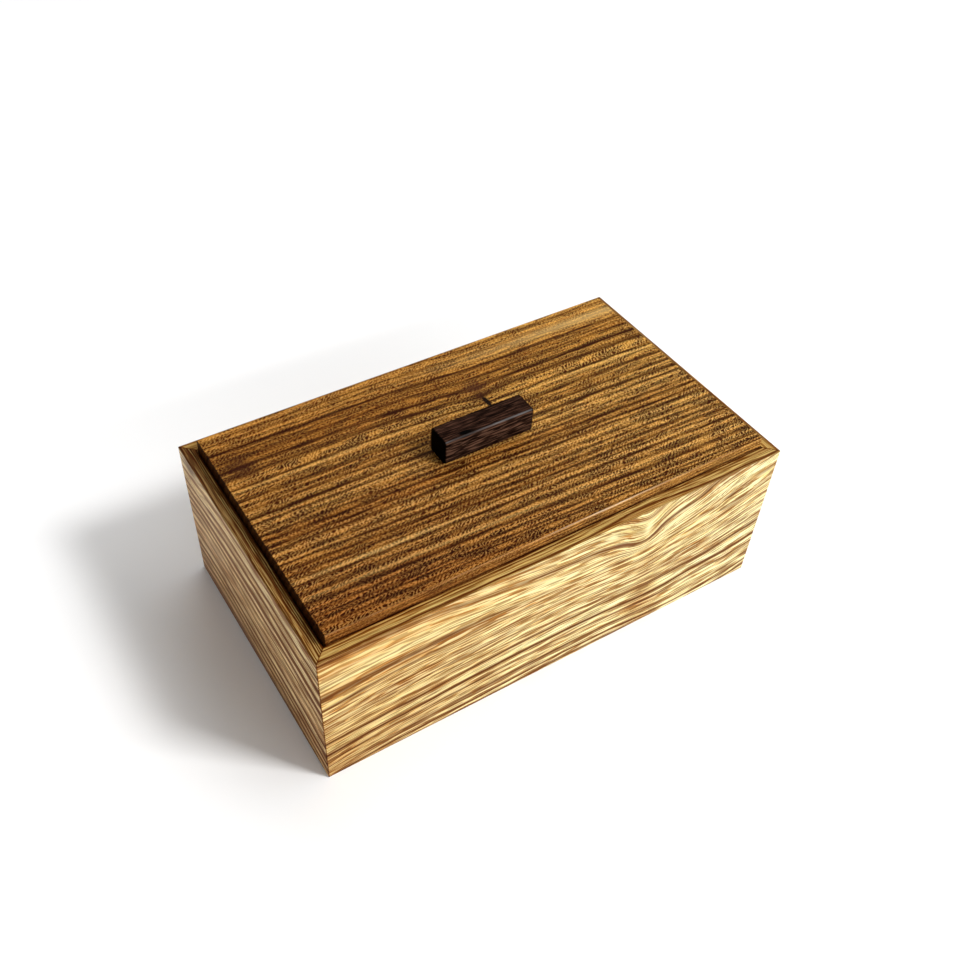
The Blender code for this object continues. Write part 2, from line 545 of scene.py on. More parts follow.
@dataclass(frozen=True)
class Drift:
    """A slow noise in the wood.

    Attributes:
        cells: How many blotches lie on a metre each way.
        span: Levels of the noise that become 0 and 1.
        detail: Octaves of finer noise.
        seed: An offset of the noise.
    """

    cells: Point
    span: tuple[float, float] | None = None
    detail: float = 2.0
    seed: float = 0.0

    def raw(self, tree: ShaderTree, grain: Socket, seed: float = 0.0) -> Signal:
        """Return the plain noise, from 0 to 1, with a board's own offset."""
        return tree.grey_noise(grain, self.cells, self.detail, seed + self.seed)

    def level(self, tree: ShaderTree, grain: Socket, seed: float = 0.0) -> Signal:
        """Return the noise spread over its span, or centred on 0 where it has none."""
        value = self.raw(tree, grain, seed)
        return value.rise(*self.span) if self.span else value - 0.5


SWAY = Drift((14.0, 30.0, 30.0))
QUIVER = Drift((90.0, 260.0, 260.0), seed=3.0)
WEAR = Drift((40.0, 420.0, 300.0), (0.35, 0.60), detail=3.0, seed=5.0)
CLOUDS = Drift((8.0, 85.0, 60.0), (0.36, 0.64), seed=7.0)
TIDE = Drift((6.0, 150.0, 100.0), (0.40, 0.60), seed=19.0)
FADE_FLOOR = 0.35
QUIVER_REACH = 0.0004
FRAY_REACH = 0.0003
EDGE_BAND = 0.0005
EDGE_TILT = 1.3
EDGE_WANDER = 1.2
BAND_CORE = 0.4
ARRIS_CORE = 0.6
ARRIS_FLOOR = 0.2
RING_DEPTH = 0.25
RING_ROUGHNESS = 0.08
CLOUD_ROUGHNESS = 0.05


@dataclass(frozen=True)
class WoodFinish:
    """Colours and texture of one kind of wood.

    Attributes:
        ground: Plain wood between the rings.
        warm: The colour that the ground drifts to in slow clouds.
        ring: Dark late wood.
        glow: The lightest wood between the rings.
        layers: The strewn marks, from the lowest up.
        edge_tint: What the colour is multiplied by on the narrow long edges.
        end_tint: What it is multiplied by on the ends, or along the mitre lines.
        end_band: How far the ends' tint reaches.
        arris: Colour painted along one long edge's corner: a painted highlight on the lid and the handle, a
            dark line on the walls.
        arris_strength: How fully that colour covers.
        arris_band: Its width, measured down and inward together.
        drift: How strongly the ground drifts to the warm colour.
        line_gain: How strongly the rings' lines show.
        fade: How far they fade in streaks.
        glow_strength: How fully the lightest wood shows.
        roughness: Middle roughness of the oiled surface.
        relief: Depth of the open grain.
        specular: Strength of the mirror light.
        sheen: Colour of the mirror light.
    """

    ground: Colour
    warm: Colour
    ring: Colour
    glow: Colour
    layers: tuple[GrainLayer, ...]
    edge_tint: Colour = WHITE
    end_tint: Colour = (0.45, 0.26, 0.14)
    end_band: float = 0.0005
    arris: Colour = (0.1, 0.1, 0.1)
    arris_strength: float = 0.0
    arris_band: float = 0.0008
    drift: float = 0.8
    line_gain: float = 1.2
    fade: float = 0.2
    glow_strength: float = 0.8
    roughness: float = 0.42
    relief: float = 0.00012
    specular: float = 0.08
    sheen: Colour = (1.0, 0.85, 0.60)

    def dress(self, name: str, place: BoardPlace, figure: Figure) -> bpy.types.Material:
        """Make the material of one board.

        Args:
            name: The material's name.
            place: Where the board lies.
            figure: Its rings, lines and spots.

        Returns:
            The material.
        """
        tree = ShaderTree.of_material(name)
        point = self._locate(tree, place, figure)
        tone = self._tone(tree, point, figure)
        rings = tone.clamped()
        clouds = CLOUDS.level(tree, tree.joined(point.along, point.across, point.inward), figure.seed)

        colour = tree.mix(self.ground, self.warm, clouds * self.drift)
        colour = tree.mix(colour, self.glow, (tone * -self.glow_strength).clamped())
        colour, relief = self._strew(tree, point, figure, tone, colour)
        colour = tree.mix(colour, self.ring, rings)
        colour = self._spot(tree, point, figure, colour)
        colour = self._shade_borders(tree, point, place, figure, colour)
        return tree.principled({
            "Base Color": colour,
            "Roughness": self.roughness + rings * RING_ROUGHNESS - clouds * CLOUD_ROUGHNESS,
            "Specular IOR Level": self.specular,
            "Specular Tint": self.sheen,
            "Normal": tree.bump(relief - rings * RING_DEPTH + 0.5, self.relief),
        })

    def _locate(self, tree: ShaderTree, place: BoardPlace, figure: Figure) -> WoodPoint:
        """Work out where the shaded point lies.

        Args:
            tree: The material's tree.
            place: Where the board lies.
            figure: Its rings.

        Returns:
            Its place in the board and among its rings.
        """
        offset = tree.vector("SUBTRACT", tree.place(), place.corner).outputs[0]
        along = tree.dot(offset, place.along)
        down = tree.dot(offset, place.down)
        inward = tree.dot(offset, place.inward)
        on_edge = 1.0 - down.least(place.height - down).rise(EDGE_BAND * BAND_CORE, EDGE_BAND)

        plain = tree.joined(along, down, inward)
        sway, quiver, slow_streaks = (drift.level(tree, plain, figure.seed) for drift in (SWAY, QUIVER, WEAR))
        wander = sway * figure.sway + quiver * QUIVER_REACH + (slow_streaks - 0.5) * FRAY_REACH

        share = along / place.length
        label = self._ring_label(tree, figure.guides, share, down / place.height)
        label = label + inward * (figure.tilt / place.height)
        label = label + on_edge * (inward * (EDGE_TILT / place.height) - label) + wander / place.height
        depth = inward / EDGE_SPAN + wander * (EDGE_WANDER / EDGE_SPAN)
        if figure.edge_course:
            depth = depth - tree.curve(share, figure.edge_course)
        return WoodPoint(along, share, down, inward, on_edge, label, label * place.height, depth, slow_streaks)

    @staticmethod
    def _ring_label(tree: ShaderTree, guides: tuple[GuideRing, ...], along: Signal, down: Signal) -> Signal:
        """Work out where among the rings a point lies, straight between the guide rings.

        Args:
            tree: The material's tree.
            guides: The guide rings, from the top down.
            along: The point's share of the length.
            down: Its share of the height.

        Returns:
            Its place among the rings.
        """
        courses = [tree.curve(along, guide.course) for guide in guides]
        label = (down - courses[0]).least(0.0) + guides[0].place
        for index in range(1, len(guides)):
            share = ((down - courses[index - 1]) / (courses[index] - courses[index - 1])).clamped()
            label = label + share * (guides[index].place - guides[index - 1].place)
        return label + (down - courses[-1]).most(0.0)

    def _tone(self, tree: ShaderTree, point: WoodPoint, figure: Figure) -> Signal:
        """Work out how dark the rings are.

        Args:
            tree: The material's tree.
            point: The shaded point.
            figure: The board's figure.

        Returns:
            The tone, above 0 in dark rings and below 0 in the lightest wood.
        """
        tone = tree.levels(point.label, figure.tones)
        tone = tone + point.on_edge * (tree.levels(point.depth, figure.edge_tones) - tone)
        for spot in figure.fades:
            tone = tone * (1.0 - spot.cover(point.share, point.label) * (FADE_FLOOR + point.slow_streaks))
        return tone * (1.0 - point.slow_streaks * self.fade) * (self.line_gain * figure.contrast)

    def _strew(
        self, tree: ShaderTree, point: WoodPoint, figure: Figure, tone: Signal, colour: Socket
    ) -> tuple[Socket, Number]:
        """Strew the short marks of the grain over a colour.

        Args:
            tree: The material's tree.
            point: The shaded point.
            figure: The board's figure.
            tone: How dark the rings are there.
            colour: The colour so far.

        Returns:
            The new colour and the relief of the marks.
        """
        tide = TIDE.level(tree, tree.joined(point.along, point.across, point.inward), figure.seed)
        calm = 1.0
        for spot in figure.calms:
            calm = calm * (1.0 - spot.cover(point.share, point.label))
        relief = 0.0
        for layer in self.layers:
            level = layer.level(tree, point, figure.seed)
            for mark in (layer.dark, layer.light):
                share = (1.0 + tone * mark.pull).most(0.0) * (mark.strength * figure.bite)
                cover = level.rise(*mark.span) * share * calm * (1.0 - tide * mark.tide)
                colour = tree.mix(colour, mark.colour, cover)
                relief = relief + cover * mark.lift
        return colour, relief

    @staticmethod
    def _spot(tree: ShaderTree, point: WoodPoint, figure: Figure, colour: Socket) -> Socket:
        """Tint or cover a colour where the board has soft spots.

        Args:
            tree: The material's tree.
            point: The shaded point.
            figure: The board's figure.
            colour: The colour so far.

        Returns:
            The new colour.
        """
        places = [(patch, point.label, 1.0 - point.on_edge) for patch in figure.patches]
        places += [(patch, point.depth, point.on_edge) for patch in figure.edge_patches]
        for patch, level, where in sorted(places, key=lambda item: item[0].above):
            blend = "MIX" if patch.above else "MULTIPLY"
            colour = tree.mix(colour, patch.colour, patch.cover(point.share, level) * where, blend)
        return colour

    def _shade_borders(
        self, tree: ShaderTree, point: WoodPoint, place: BoardPlace, figure: Figure, colour: Socket
    ) -> Socket:
        """Tint the long edges and the ends or mitres, and paint the arris colour: a painted highlight on the
        lid and the handle, a dark line on the walls.

        Args:
            tree: The material's tree.
            point: The shaded point.
            place: Where the board lies.
            figure: The board's figure.
            colour: The colour so far.

        Returns:
            The new colour.
        """
        colour = tree.mix(colour, self.edge_tint, point.on_edge, "MULTIPLY")
        colour = tree.mix(colour, figure.tint, 1.0 - point.on_edge, "MULTIPLY")
        to_end = point.along.least(place.length - point.along)
        seam = abs(to_end - point.inward).least(to_end) if place.mitred else to_end
        at_end = 1.0 - seam.rise(self.end_band * BAND_CORE, self.end_band)
        colour = tree.mix(colour, self.end_tint, at_end, "MULTIPLY")
        # Painted highlight on the lid's and the handle's arris, dark line on the walls' arris, broken up by
        # the slow streaks.
        to_arris_edge = place.height - point.down if place.arris_low else point.down
        at_arris = 1.0 - (to_arris_edge + point.inward).rise(self.arris_band * ARRIS_CORE, self.arris_band)
        slow_streaks = ARRIS_FLOOR + point.slow_streaks * (1.0 - ARRIS_FLOOR)
        return tree.mix(colour, self.arris, at_arris * slow_streaks * self.arris_strength)


@dataclass(frozen=True)
class PanelFinish:
    """Pale sanded sheet wood with its plies in the thickness.

    Attributes:
        face: Colour of the face veneer.
        vein: Colour of its grain lines.
        ply_pitch: Thickness of one ply.
        lines: The slow noise of the grain lines.
        fibres: The noise of the fibres.
        line_strength: How fully the grain lines show.
        fibre_strength: How fully the fibres show.
        ply_strength: How fully the plies show.
        roughness: Roughness beside the grain lines.
        line_roughness: What they add to it.
        specular: Strength of the mirror light.
        relief: Depth of the fibres.
    """

    face: Colour = (0.62, 0.45, 0.27)
    vein: Colour = (0.44, 0.28, 0.14)
    ply_pitch: float = 0.0013
    lines: Drift = Drift((6.0, 260.0, 260.0), (0.48, 0.70), detail=3.0, seed=2.0)
    fibres: Drift = Drift((90.0, 1500.0, 1500.0), (0.55, 0.70), seed=4.0)
    line_strength: float = 0.7
    fibre_strength: float = 0.5
    ply_strength: float = 0.25
    roughness: float = 0.55
    line_roughness: float = 0.1
    specular: float = 0.25
    relief: float = 0.00008

    PLY_SPAN = (0.55, 0.75)

    def dress(self, name: str) -> bpy.types.Material:
        """Make the material, with its grain along X.

        Args:
            name: The material's name.

        Returns:
            The material.
        """
        tree = ShaderTree.of_material(name)
        place = tree.place()
        lines = self.lines.level(tree, place)
        fibres = self.fibres.raw(tree, place)
        plies = tree.math("PINGPONG", tree.dot(place, tuple(UPRIGHT)), self.ply_pitch) / self.ply_pitch
        colour = tree.mix(self.face, self.vein, lines * self.line_strength)
        colour = tree.mix(colour, self.vein, fibres.rise(*self.fibres.span) * self.fibre_strength)
        colour = tree.mix(colour, self.vein, plies.rise(*self.PLY_SPAN) * self.ply_strength)
        return tree.principled({
            "Base Color": colour,
            "Roughness": self.roughness + lines * self.line_roughness,
            "Specular IOR Level": self.specular,
            "Normal": tree.bump(fibres, self.relief),
        })


@dataclass(frozen=True)
class BrassFinish:
    """Turned brass with fine rings and a little tarnish.

    Attributes:
        metal: Clean brass.
        tarnish: Its darker spots.
        spots: The noise of the spots.
        scratches: The noise of the tool marks.
        tarnish_strength: How fully the spots show.
        roughness: Roughness of the cleanest brass.
        spot_roughness: What the spots add to it.
        relief: Depth of the tool marks.
    """

    metal: Colour = (0.72, 0.50, 0.20)
    tarnish: Colour = (0.36, 0.22, 0.09)
    spots: Drift = Drift((700.0, 700.0, 700.0), (0.50, 0.75), detail=3.0, seed=1.0)
    scratches: Drift = Drift((300.0, 300.0, 9000.0), detail=1.0, seed=6.0)
    tarnish_strength: float = 0.8
    roughness: float = 0.24
    spot_roughness: float = 0.16
    relief: float = 0.00002

    def dress(self, name: str) -> bpy.types.Material:
        """Make the material.

        Args:
            name: The material's name.

        Returns:
            The material.
        """
        tree = ShaderTree.of_material(name)
        place = tree.place()
        spots = self.spots.raw(tree, place)
        tarnished = spots.rise(*self.spots.span) * self.tarnish_strength
        return tree.principled({
            "Base Color": tree.mix(self.metal, self.tarnish, tarnished),
            "Roughness": self.roughness + spots * self.spot_roughness,
            "Metallic": 1.0,
            "Normal": tree.bump(self.scratches.raw(tree, place), self.relief),
        })


@dataclass(frozen=True)
class FeltFinish:
    """Pressed wool felt with loose fibres and faint clouds.

    Attributes:
        wool: The felt's colour.
        lint: Lighter fibres.
        shade: The pits between fibres.
        bloom: Colour of its sheen.
        clouds: The noise of the faint clouds.
        tufts: The noise of the tufts.
        hairs: The noise of the loose fibres.
        cross_hairs: The noise of those that lie across them.
        cross_turn: How far these are turned.
        pit_strength: How fully the pits show.
        hair_strength: How fully the loose fibres show.
        cloud_strength: How fully the clouds show.
        hair_relief: How far the fibres stand out, beside the tufts.
        relief: Depth of the tufts.
        roughness: Least roughness.
        tuft_roughness: What the tufts add to it.
        specular: Strength of the mirror light.
        sheen: Strength of the sheen.
        sheen_roughness: Its roughness.
    """

    wool: Colour = (0.050, 0.075, 0.045)
    lint: Colour = (0.105, 0.140, 0.090)
    shade: Colour = (0.018, 0.028, 0.016)
    bloom: Colour = (0.55, 0.65, 0.50)
    clouds: Drift = Drift((60.0, 60.0, 60.0), (0.45, 0.75), detail=3.0, seed=1.0)
    tufts: Drift = Drift((1400.0, 1400.0, 1400.0), (0.30, 0.55), detail=3.0, seed=2.0)
    hairs: Drift = Drift((3200.0, 420.0, 900.0), (0.58, 0.72), seed=3.0)
    cross_hairs: Drift = Drift((420.0, 3000.0, 900.0), (0.58, 0.72), seed=4.0)
    cross_turn: float = math.radians(37)
    pit_strength: float = 0.7
    hair_strength: float = 0.7
    cloud_strength: float = 0.3
    hair_relief: float = 0.4
    relief: float = 0.00025
    roughness: float = 0.92
    tuft_roughness: float = 0.08
    specular: float = 0.15
    sheen: float = 0.35
    sheen_roughness: float = 0.45

    def dress(self, name: str) -> bpy.types.Material:
        """Make the material.

        Args:
            name: The material's name.

        Returns:
            The material.
        """
        tree = ShaderTree.of_material(name)
        place = tree.place()
        turn = {"Vector": place, "Rotation": (0.0, 0.0, self.cross_turn)}
        turned = tree.add("ShaderNodeMapping", {"vector_type": "POINT"}, turn).outputs[0]
        clouds = self.clouds.level(tree, place)
        tufts = self.tufts.raw(tree, place)
        pits = 1.0 - tufts.rise(*self.tufts.span)
        hairs = self.hairs.level(tree, place)
        loose = hairs.most(self.cross_hairs.level(tree, turned))
        colour = tree.mix(self.wool, self.shade, pits * self.pit_strength)
        colour = tree.mix(colour, self.lint, loose * self.hair_strength)
        colour = tree.mix(colour, self.lint, clouds * self.cloud_strength)
        return tree.principled({
            "Base Color": colour,
            "Roughness": self.roughness + tufts * self.tuft_roughness,
            "Specular IOR Level": self.specular,
            "Sheen Weight": self.sheen,
            "Sheen Roughness": self.sheen_roughness,
            "Sheen Tint": self.bloom,
            "Normal": tree.bump(tufts + hairs * self.hair_relief, self.relief),
        })


class Part(Enum):
    """What is picked in edit mode."""

    VERTICES = "VERT"
    EDGES = "EDGE"
    FACES = "FACE"


class Workpiece:
    """One mesh object while it is being modelled with Blender's operators."""

    def __init__(self, name: str, obj: bpy.types.Object) -> None:
        """Take a new object onto the bench."""
        self.obj = obj
        obj.name = name
        obj.data.name = name

    @staticmethod
    def add(name: str, primitive: Callable, scale: Point | Vector = UNIT, **settings: object) -> "Workpiece":
        """Add a primitive at its size and place.

        Args:
            name: The piece's name.
            primitive: The operator that adds it.
            scale: Its size along its own axes.
            settings: The operator's settings.

        Returns:
            The piece.
        """
        bpy.ops.object.select_all(action="DESELECT")
        primitive(**settings)
        piece = Workpiece(name, bpy.context.object)
        piece.obj.scale = scale
        piece.settle()
        return piece

    @staticmethod
    def block(name: str, low: Vector, high: Vector) -> "Workpiece":
        """Add a cube primitive that fills the room between two corners."""
        middle = (low + high) / 2
        return Workpiece.add(name, bpy.ops.mesh.primitive_cube_add, high - low, size=1.0, location=middle)

    def select(self) -> None:
        """Make this the only selected object, and the active one."""
        bpy.ops.object.select_all(action="DESELECT")
        self.obj.select_set(True)
        bpy.context.view_layer.objects.active = self.obj

    def settle(self) -> None:
        """Move the object's place, turn and scale into its mesh."""
        self.select()
        bpy.ops.object.transform_apply(location=True, rotation=True, scale=True)

    @contextmanager
    def editing(self) -> Iterator[None]:
        """Stay in edit mode for a block of code."""
        self.select()
        bpy.ops.object.mode_set(mode="EDIT")
        yield
        bpy.ops.object.mode_set(mode="OBJECT")

    def pick(self, part: Part, test: Callable[[list[Vector]], bool]) -> None:
        """Select parts of the mesh by where their corners lie, in edit mode.

        Args:
            part: What is picked.
            test: Says for a part's corners whether it is picked.
        """
        bpy.ops.mesh.select_mode(type=part.value)
        bpy.ops.mesh.select_all(action="DESELECT")
        shape = bmesh.from_edit_mesh(self.obj.data)
        for item in {Part.VERTICES: shape.verts, Part.EDGES: shape.edges, Part.FACES: shape.faces}[part]:
            if test([item.co] if part is Part.VERTICES else [vert.co for vert in item.verts]):
                item.select_set(True)
        bmesh.update_edit_mesh(self.obj.data)

    def slice(self, point: Vector, normal: Vector, remove: bool = False) -> None:
        """Cut the whole mesh by a plane, and with remove saw off and close what lies beyond it."""
        bpy.ops.mesh.select_all(action="SELECT")
        bpy.ops.mesh.bisect(plane_co=point, plane_no=normal, use_fill=remove, clear_outer=remove)

    def round_picked(self, width: float, segments: int) -> None:
        """Round the selected edges."""
        bpy.ops.mesh.bevel(offset=width, offset_type="OFFSET", segments=segments, profile=0.5, affect="EDGES")

    def round_all(self, width: float, segments: int) -> None:
        """Round all edges."""
        with self.editing():
            bpy.ops.mesh.select_all(action="SELECT")
            self.round_picked(width, segments)

    def face_outwards(self) -> None:
        """Turn all faces outwards, in edit mode."""
        bpy.ops.mesh.select_all(action="SELECT")
        bpy.ops.mesh.normals_make_consistent(inside=False)

    def modify(self, kind: str, **settings: object) -> None:
        """Add a modifier and apply it.

        Args:
            kind: The modifier's type.
            settings: Its settings.
        """
        self.select()
        modifier = self.obj.modifiers.new(kind.lower(), kind)
        for key, value in settings.items():
            setattr(modifier, key, value)
        bpy.ops.object.modifier_apply(modifier=modifier.name)

    def carve(self, cutter: "Workpiece") -> None:
        """Take another piece's shape out of this one, and throw that piece away."""
        self.modify("BOOLEAN", operation="DIFFERENCE", solver="EXACT", object=cutter.obj)
        cutter.discard()

    def discard(self) -> None:
        """Remove the piece and its mesh."""
        mesh = self.obj.data
        bpy.data.objects.remove(self.obj)
        bpy.data.meshes.remove(mesh)

    def turned_copy(self, name: str, turn: float) -> "Workpiece":
        """Copy the piece with its own mesh.

        Args:
            name: The copy's name.
            turn: How far it is turned about the box's upright axis.

        Returns:
            The copy.
        """
        obj = self.obj.copy()
        obj.data = self.obj.data.copy()
        bpy.context.scene.collection.objects.link(obj)
        copy = Workpiece(name, obj)
        obj.rotation_euler = Euler((0.0, 0.0, turn))
        copy.settle()
        return copy

    def shade(self, angle: float) -> None:
        """Shade smooth, up to an angle between faces."""
        self.select()
        bpy.ops.object.shade_smooth_by_angle(angle=angle)

    def smooth(self) -> None:
        """Shade round arrises smooth and keep the flats flat."""
        self.shade(SMOOTH_ANGLE)
        self.modify("WEIGHTED_NORMAL", keep_sharp=True)

    def deliver(self, body: str, slot: str, material: bpy.types.Material, *nodes: str) -> bpy.types.Object:
        """Dress the finished piece and hang it on its body.

        Args:
            body: The CAD body that it rides on.
            slot: The name of the record's material slot, which is not used.
            material: Its finish.
            nodes: The CAD nodes that it stands for.

        Returns:
            The object.
        """
        self.obj.data.materials.clear()
        self.obj.data.materials.append(material)
        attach(self.obj, body)
        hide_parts(*nodes)
        LOG.info("%s: %d faces, %s", self.obj.name, len(self.obj.data.polygons), material.name)
        return self.obj


FIGURED_WOOD = WoodFinish(
    ground=(0.86, 0.46, 0.118),
    warm=(0.72, 0.33, 0.066),
    ring=(0.135, 0.042, 0.008),
    glow=(1.0, 0.97, 0.50),
    layers=(
        GrainLayer(
            size=(0.160, 0.0013),
            dark=Mark((0.28, 0.092, 0.014), (0.51, 0.57), 0.36, pull=0.1, lift=-0.2),
            light=Mark((1.0, 0.87, 0.35), (0.49, 0.42), 0.40, pull=-0.2, lift=0.1),
            detail=2.0,
        ),
        GrainLayer(
            size=(0.050, 0.0008),
            dark=Mark((0.20, 0.064, 0.010), (0.52, 0.57), 0.50, pull=0.1, tide=0.3, lift=-0.4),
            light=Mark((1.0, 0.94, 0.46), (0.48, 0.42), 0.45, pull=-0.2, lift=0.2),
            detail=1.0,
            seed=5.0,
        ),
        GrainLayer(
            size=(0.014, 0.00068),
            dark=Mark((0.15, 0.047, 0.008), (0.52, 0.56), 0.70, pull=0.1),
            light=Mark((1.0, 1.0, 0.60), (0.48, 0.43), 0.55, pull=-0.2),
            seed=9.0,
        ),
    ),
    edge_tint=(0.61, 0.45, 0.26),
    arris=(0.10, 0.042, 0.010),
    arris_strength=0.45,
    arris_band=0.0006,
    drift=0.9,
    line_gain=1.25,
    specular=0.03,
    sheen=(1.0, 0.75, 0.40),
)
# The light marks, the golden hatch most of all, are partly the wood's pale fleck and partly painted glints of
# the open grain.
LID_WOOD = WoodFinish(
    ground=(0.212, 0.052, 0.0068),
    warm=(0.150, 0.033, 0.0040),
    ring=(0.032, 0.0070, 0.0010),
    glow=(0.92, 0.53, 0.150),
    layers=(
        GrainLayer(
            size=(0.160, 0.0013),
            dark=Mark((0.046, 0.009, 0.0010), (0.51, 0.57), 0.50, pull=0.2, lift=-0.3),
            light=Mark((0.54, 0.190, 0.028), (0.49, 0.42), 0.42, pull=-0.4, lift=0.1),
            detail=2.0,
        ),
        GrainLayer(
            size=(0.045, 0.0009),
            dark=Mark((0.036, 0.0065, 0.0007), (0.51, 0.56), 0.72, pull=0.2, lift=-0.3),
            light=Mark((0.84, 0.37, 0.055), (0.48, 0.42), 0.55, pull=-0.6, tide=0.2, lift=0.2),
            detail=1.0,
            seed=5.0,
        ),
        GrainLayer(
            size=(0.011, 0.0008),
            dark=Mark((0.034, 0.006, 0.0006), (0.51, 0.55), 0.80, pull=0.2, lift=-0.3),
            light=Mark((1.0, 0.57, 0.110), (0.48, 0.43), 0.66, pull=-0.9, lift=0.2),
            seed=7.0,
        ),
        GrainLayer(
            size=(0.004, 0.0010),
            dark=Mark((0.032, 0.006, 0.0006), (0.52, 0.85), 0.62),
            light=Mark((1.0, 0.70, 0.20), (0.45, 0.12), 0.58, pull=-0.9),
            seed=9.0,
            lean=1.1,
            pitch=0.0018,
        ),
    ),
    edge_tint=(0.90, 0.80, 0.84),
    # Both ends darkened: partly end grain, partly painted shade copied from the shaded left end.
    end_tint=(0.18, 0.13, 0.10),
    # Painted highlight along the lid's front arris.
    arris=(0.36, 0.19, 0.085),
    arris_strength=0.5,
    arris_band=0.00045,
    line_gain=1.0,
    fade=0.45,
    glow_strength=0.9,
    roughness=0.40,
    specular=0.02,
    sheen=(1.0, 0.72, 0.36),
)
DARK_WOOD = WoodFinish(
    ground=(0.040, 0.018, 0.011),
    warm=(0.028, 0.012, 0.007),
    ring=(0.006, 0.002, 0.001),
    glow=(0.095, 0.047, 0.030),
    layers=(
        GrainLayer(
            size=(0.022, 0.0007),
            dark=Mark((0.004, 0.002, 0.001), (0.52, 0.58), 0.75, lift=-0.4),
            light=Mark((0.130, 0.063, 0.038), (0.48, 0.42), 0.60, lift=0.2),
        ),
        GrainLayer(
            size=(0.006, 0.0006),
            dark=Mark((0.003, 0.001, 0.001), (0.52, 0.58), 0.75),
            light=Mark((0.160, 0.082, 0.052), (0.47, 0.41), 0.60),
            seed=5.0,
        ),
    ),
    edge_tint=(0.56, 0.50, 0.50),
    # Both ends near black: partly dark end grain, partly painted shade copied from the shaded left end.
    end_tint=(0.03, 0.03, 0.03),
    end_band=0.0013,
    # Painted highlight along the handle's top front arris.
    arris=(0.22, 0.21, 0.21),
    arris_strength=0.95,
    arris_band=0.00088,
    glow_strength=0.5,
    specular=0.004,
)


class Side(Enum):
    """The four sides of the box, by the quarter turns that bring the front there."""

    FRONT = 0
    RIGHT = 1
    BACK = 2
    LEFT = 3

    @property
    def turn(self) -> float:
        """Return the turn about the upright axis."""
        return self.value * math.pi / 2

    def direction(self, direction: Point) -> Point:
        """Return a direction of the front, turned to this side."""
        return tuple(Matrix.Rotation(self.turn, 3, "Z") @ Vector(direction))


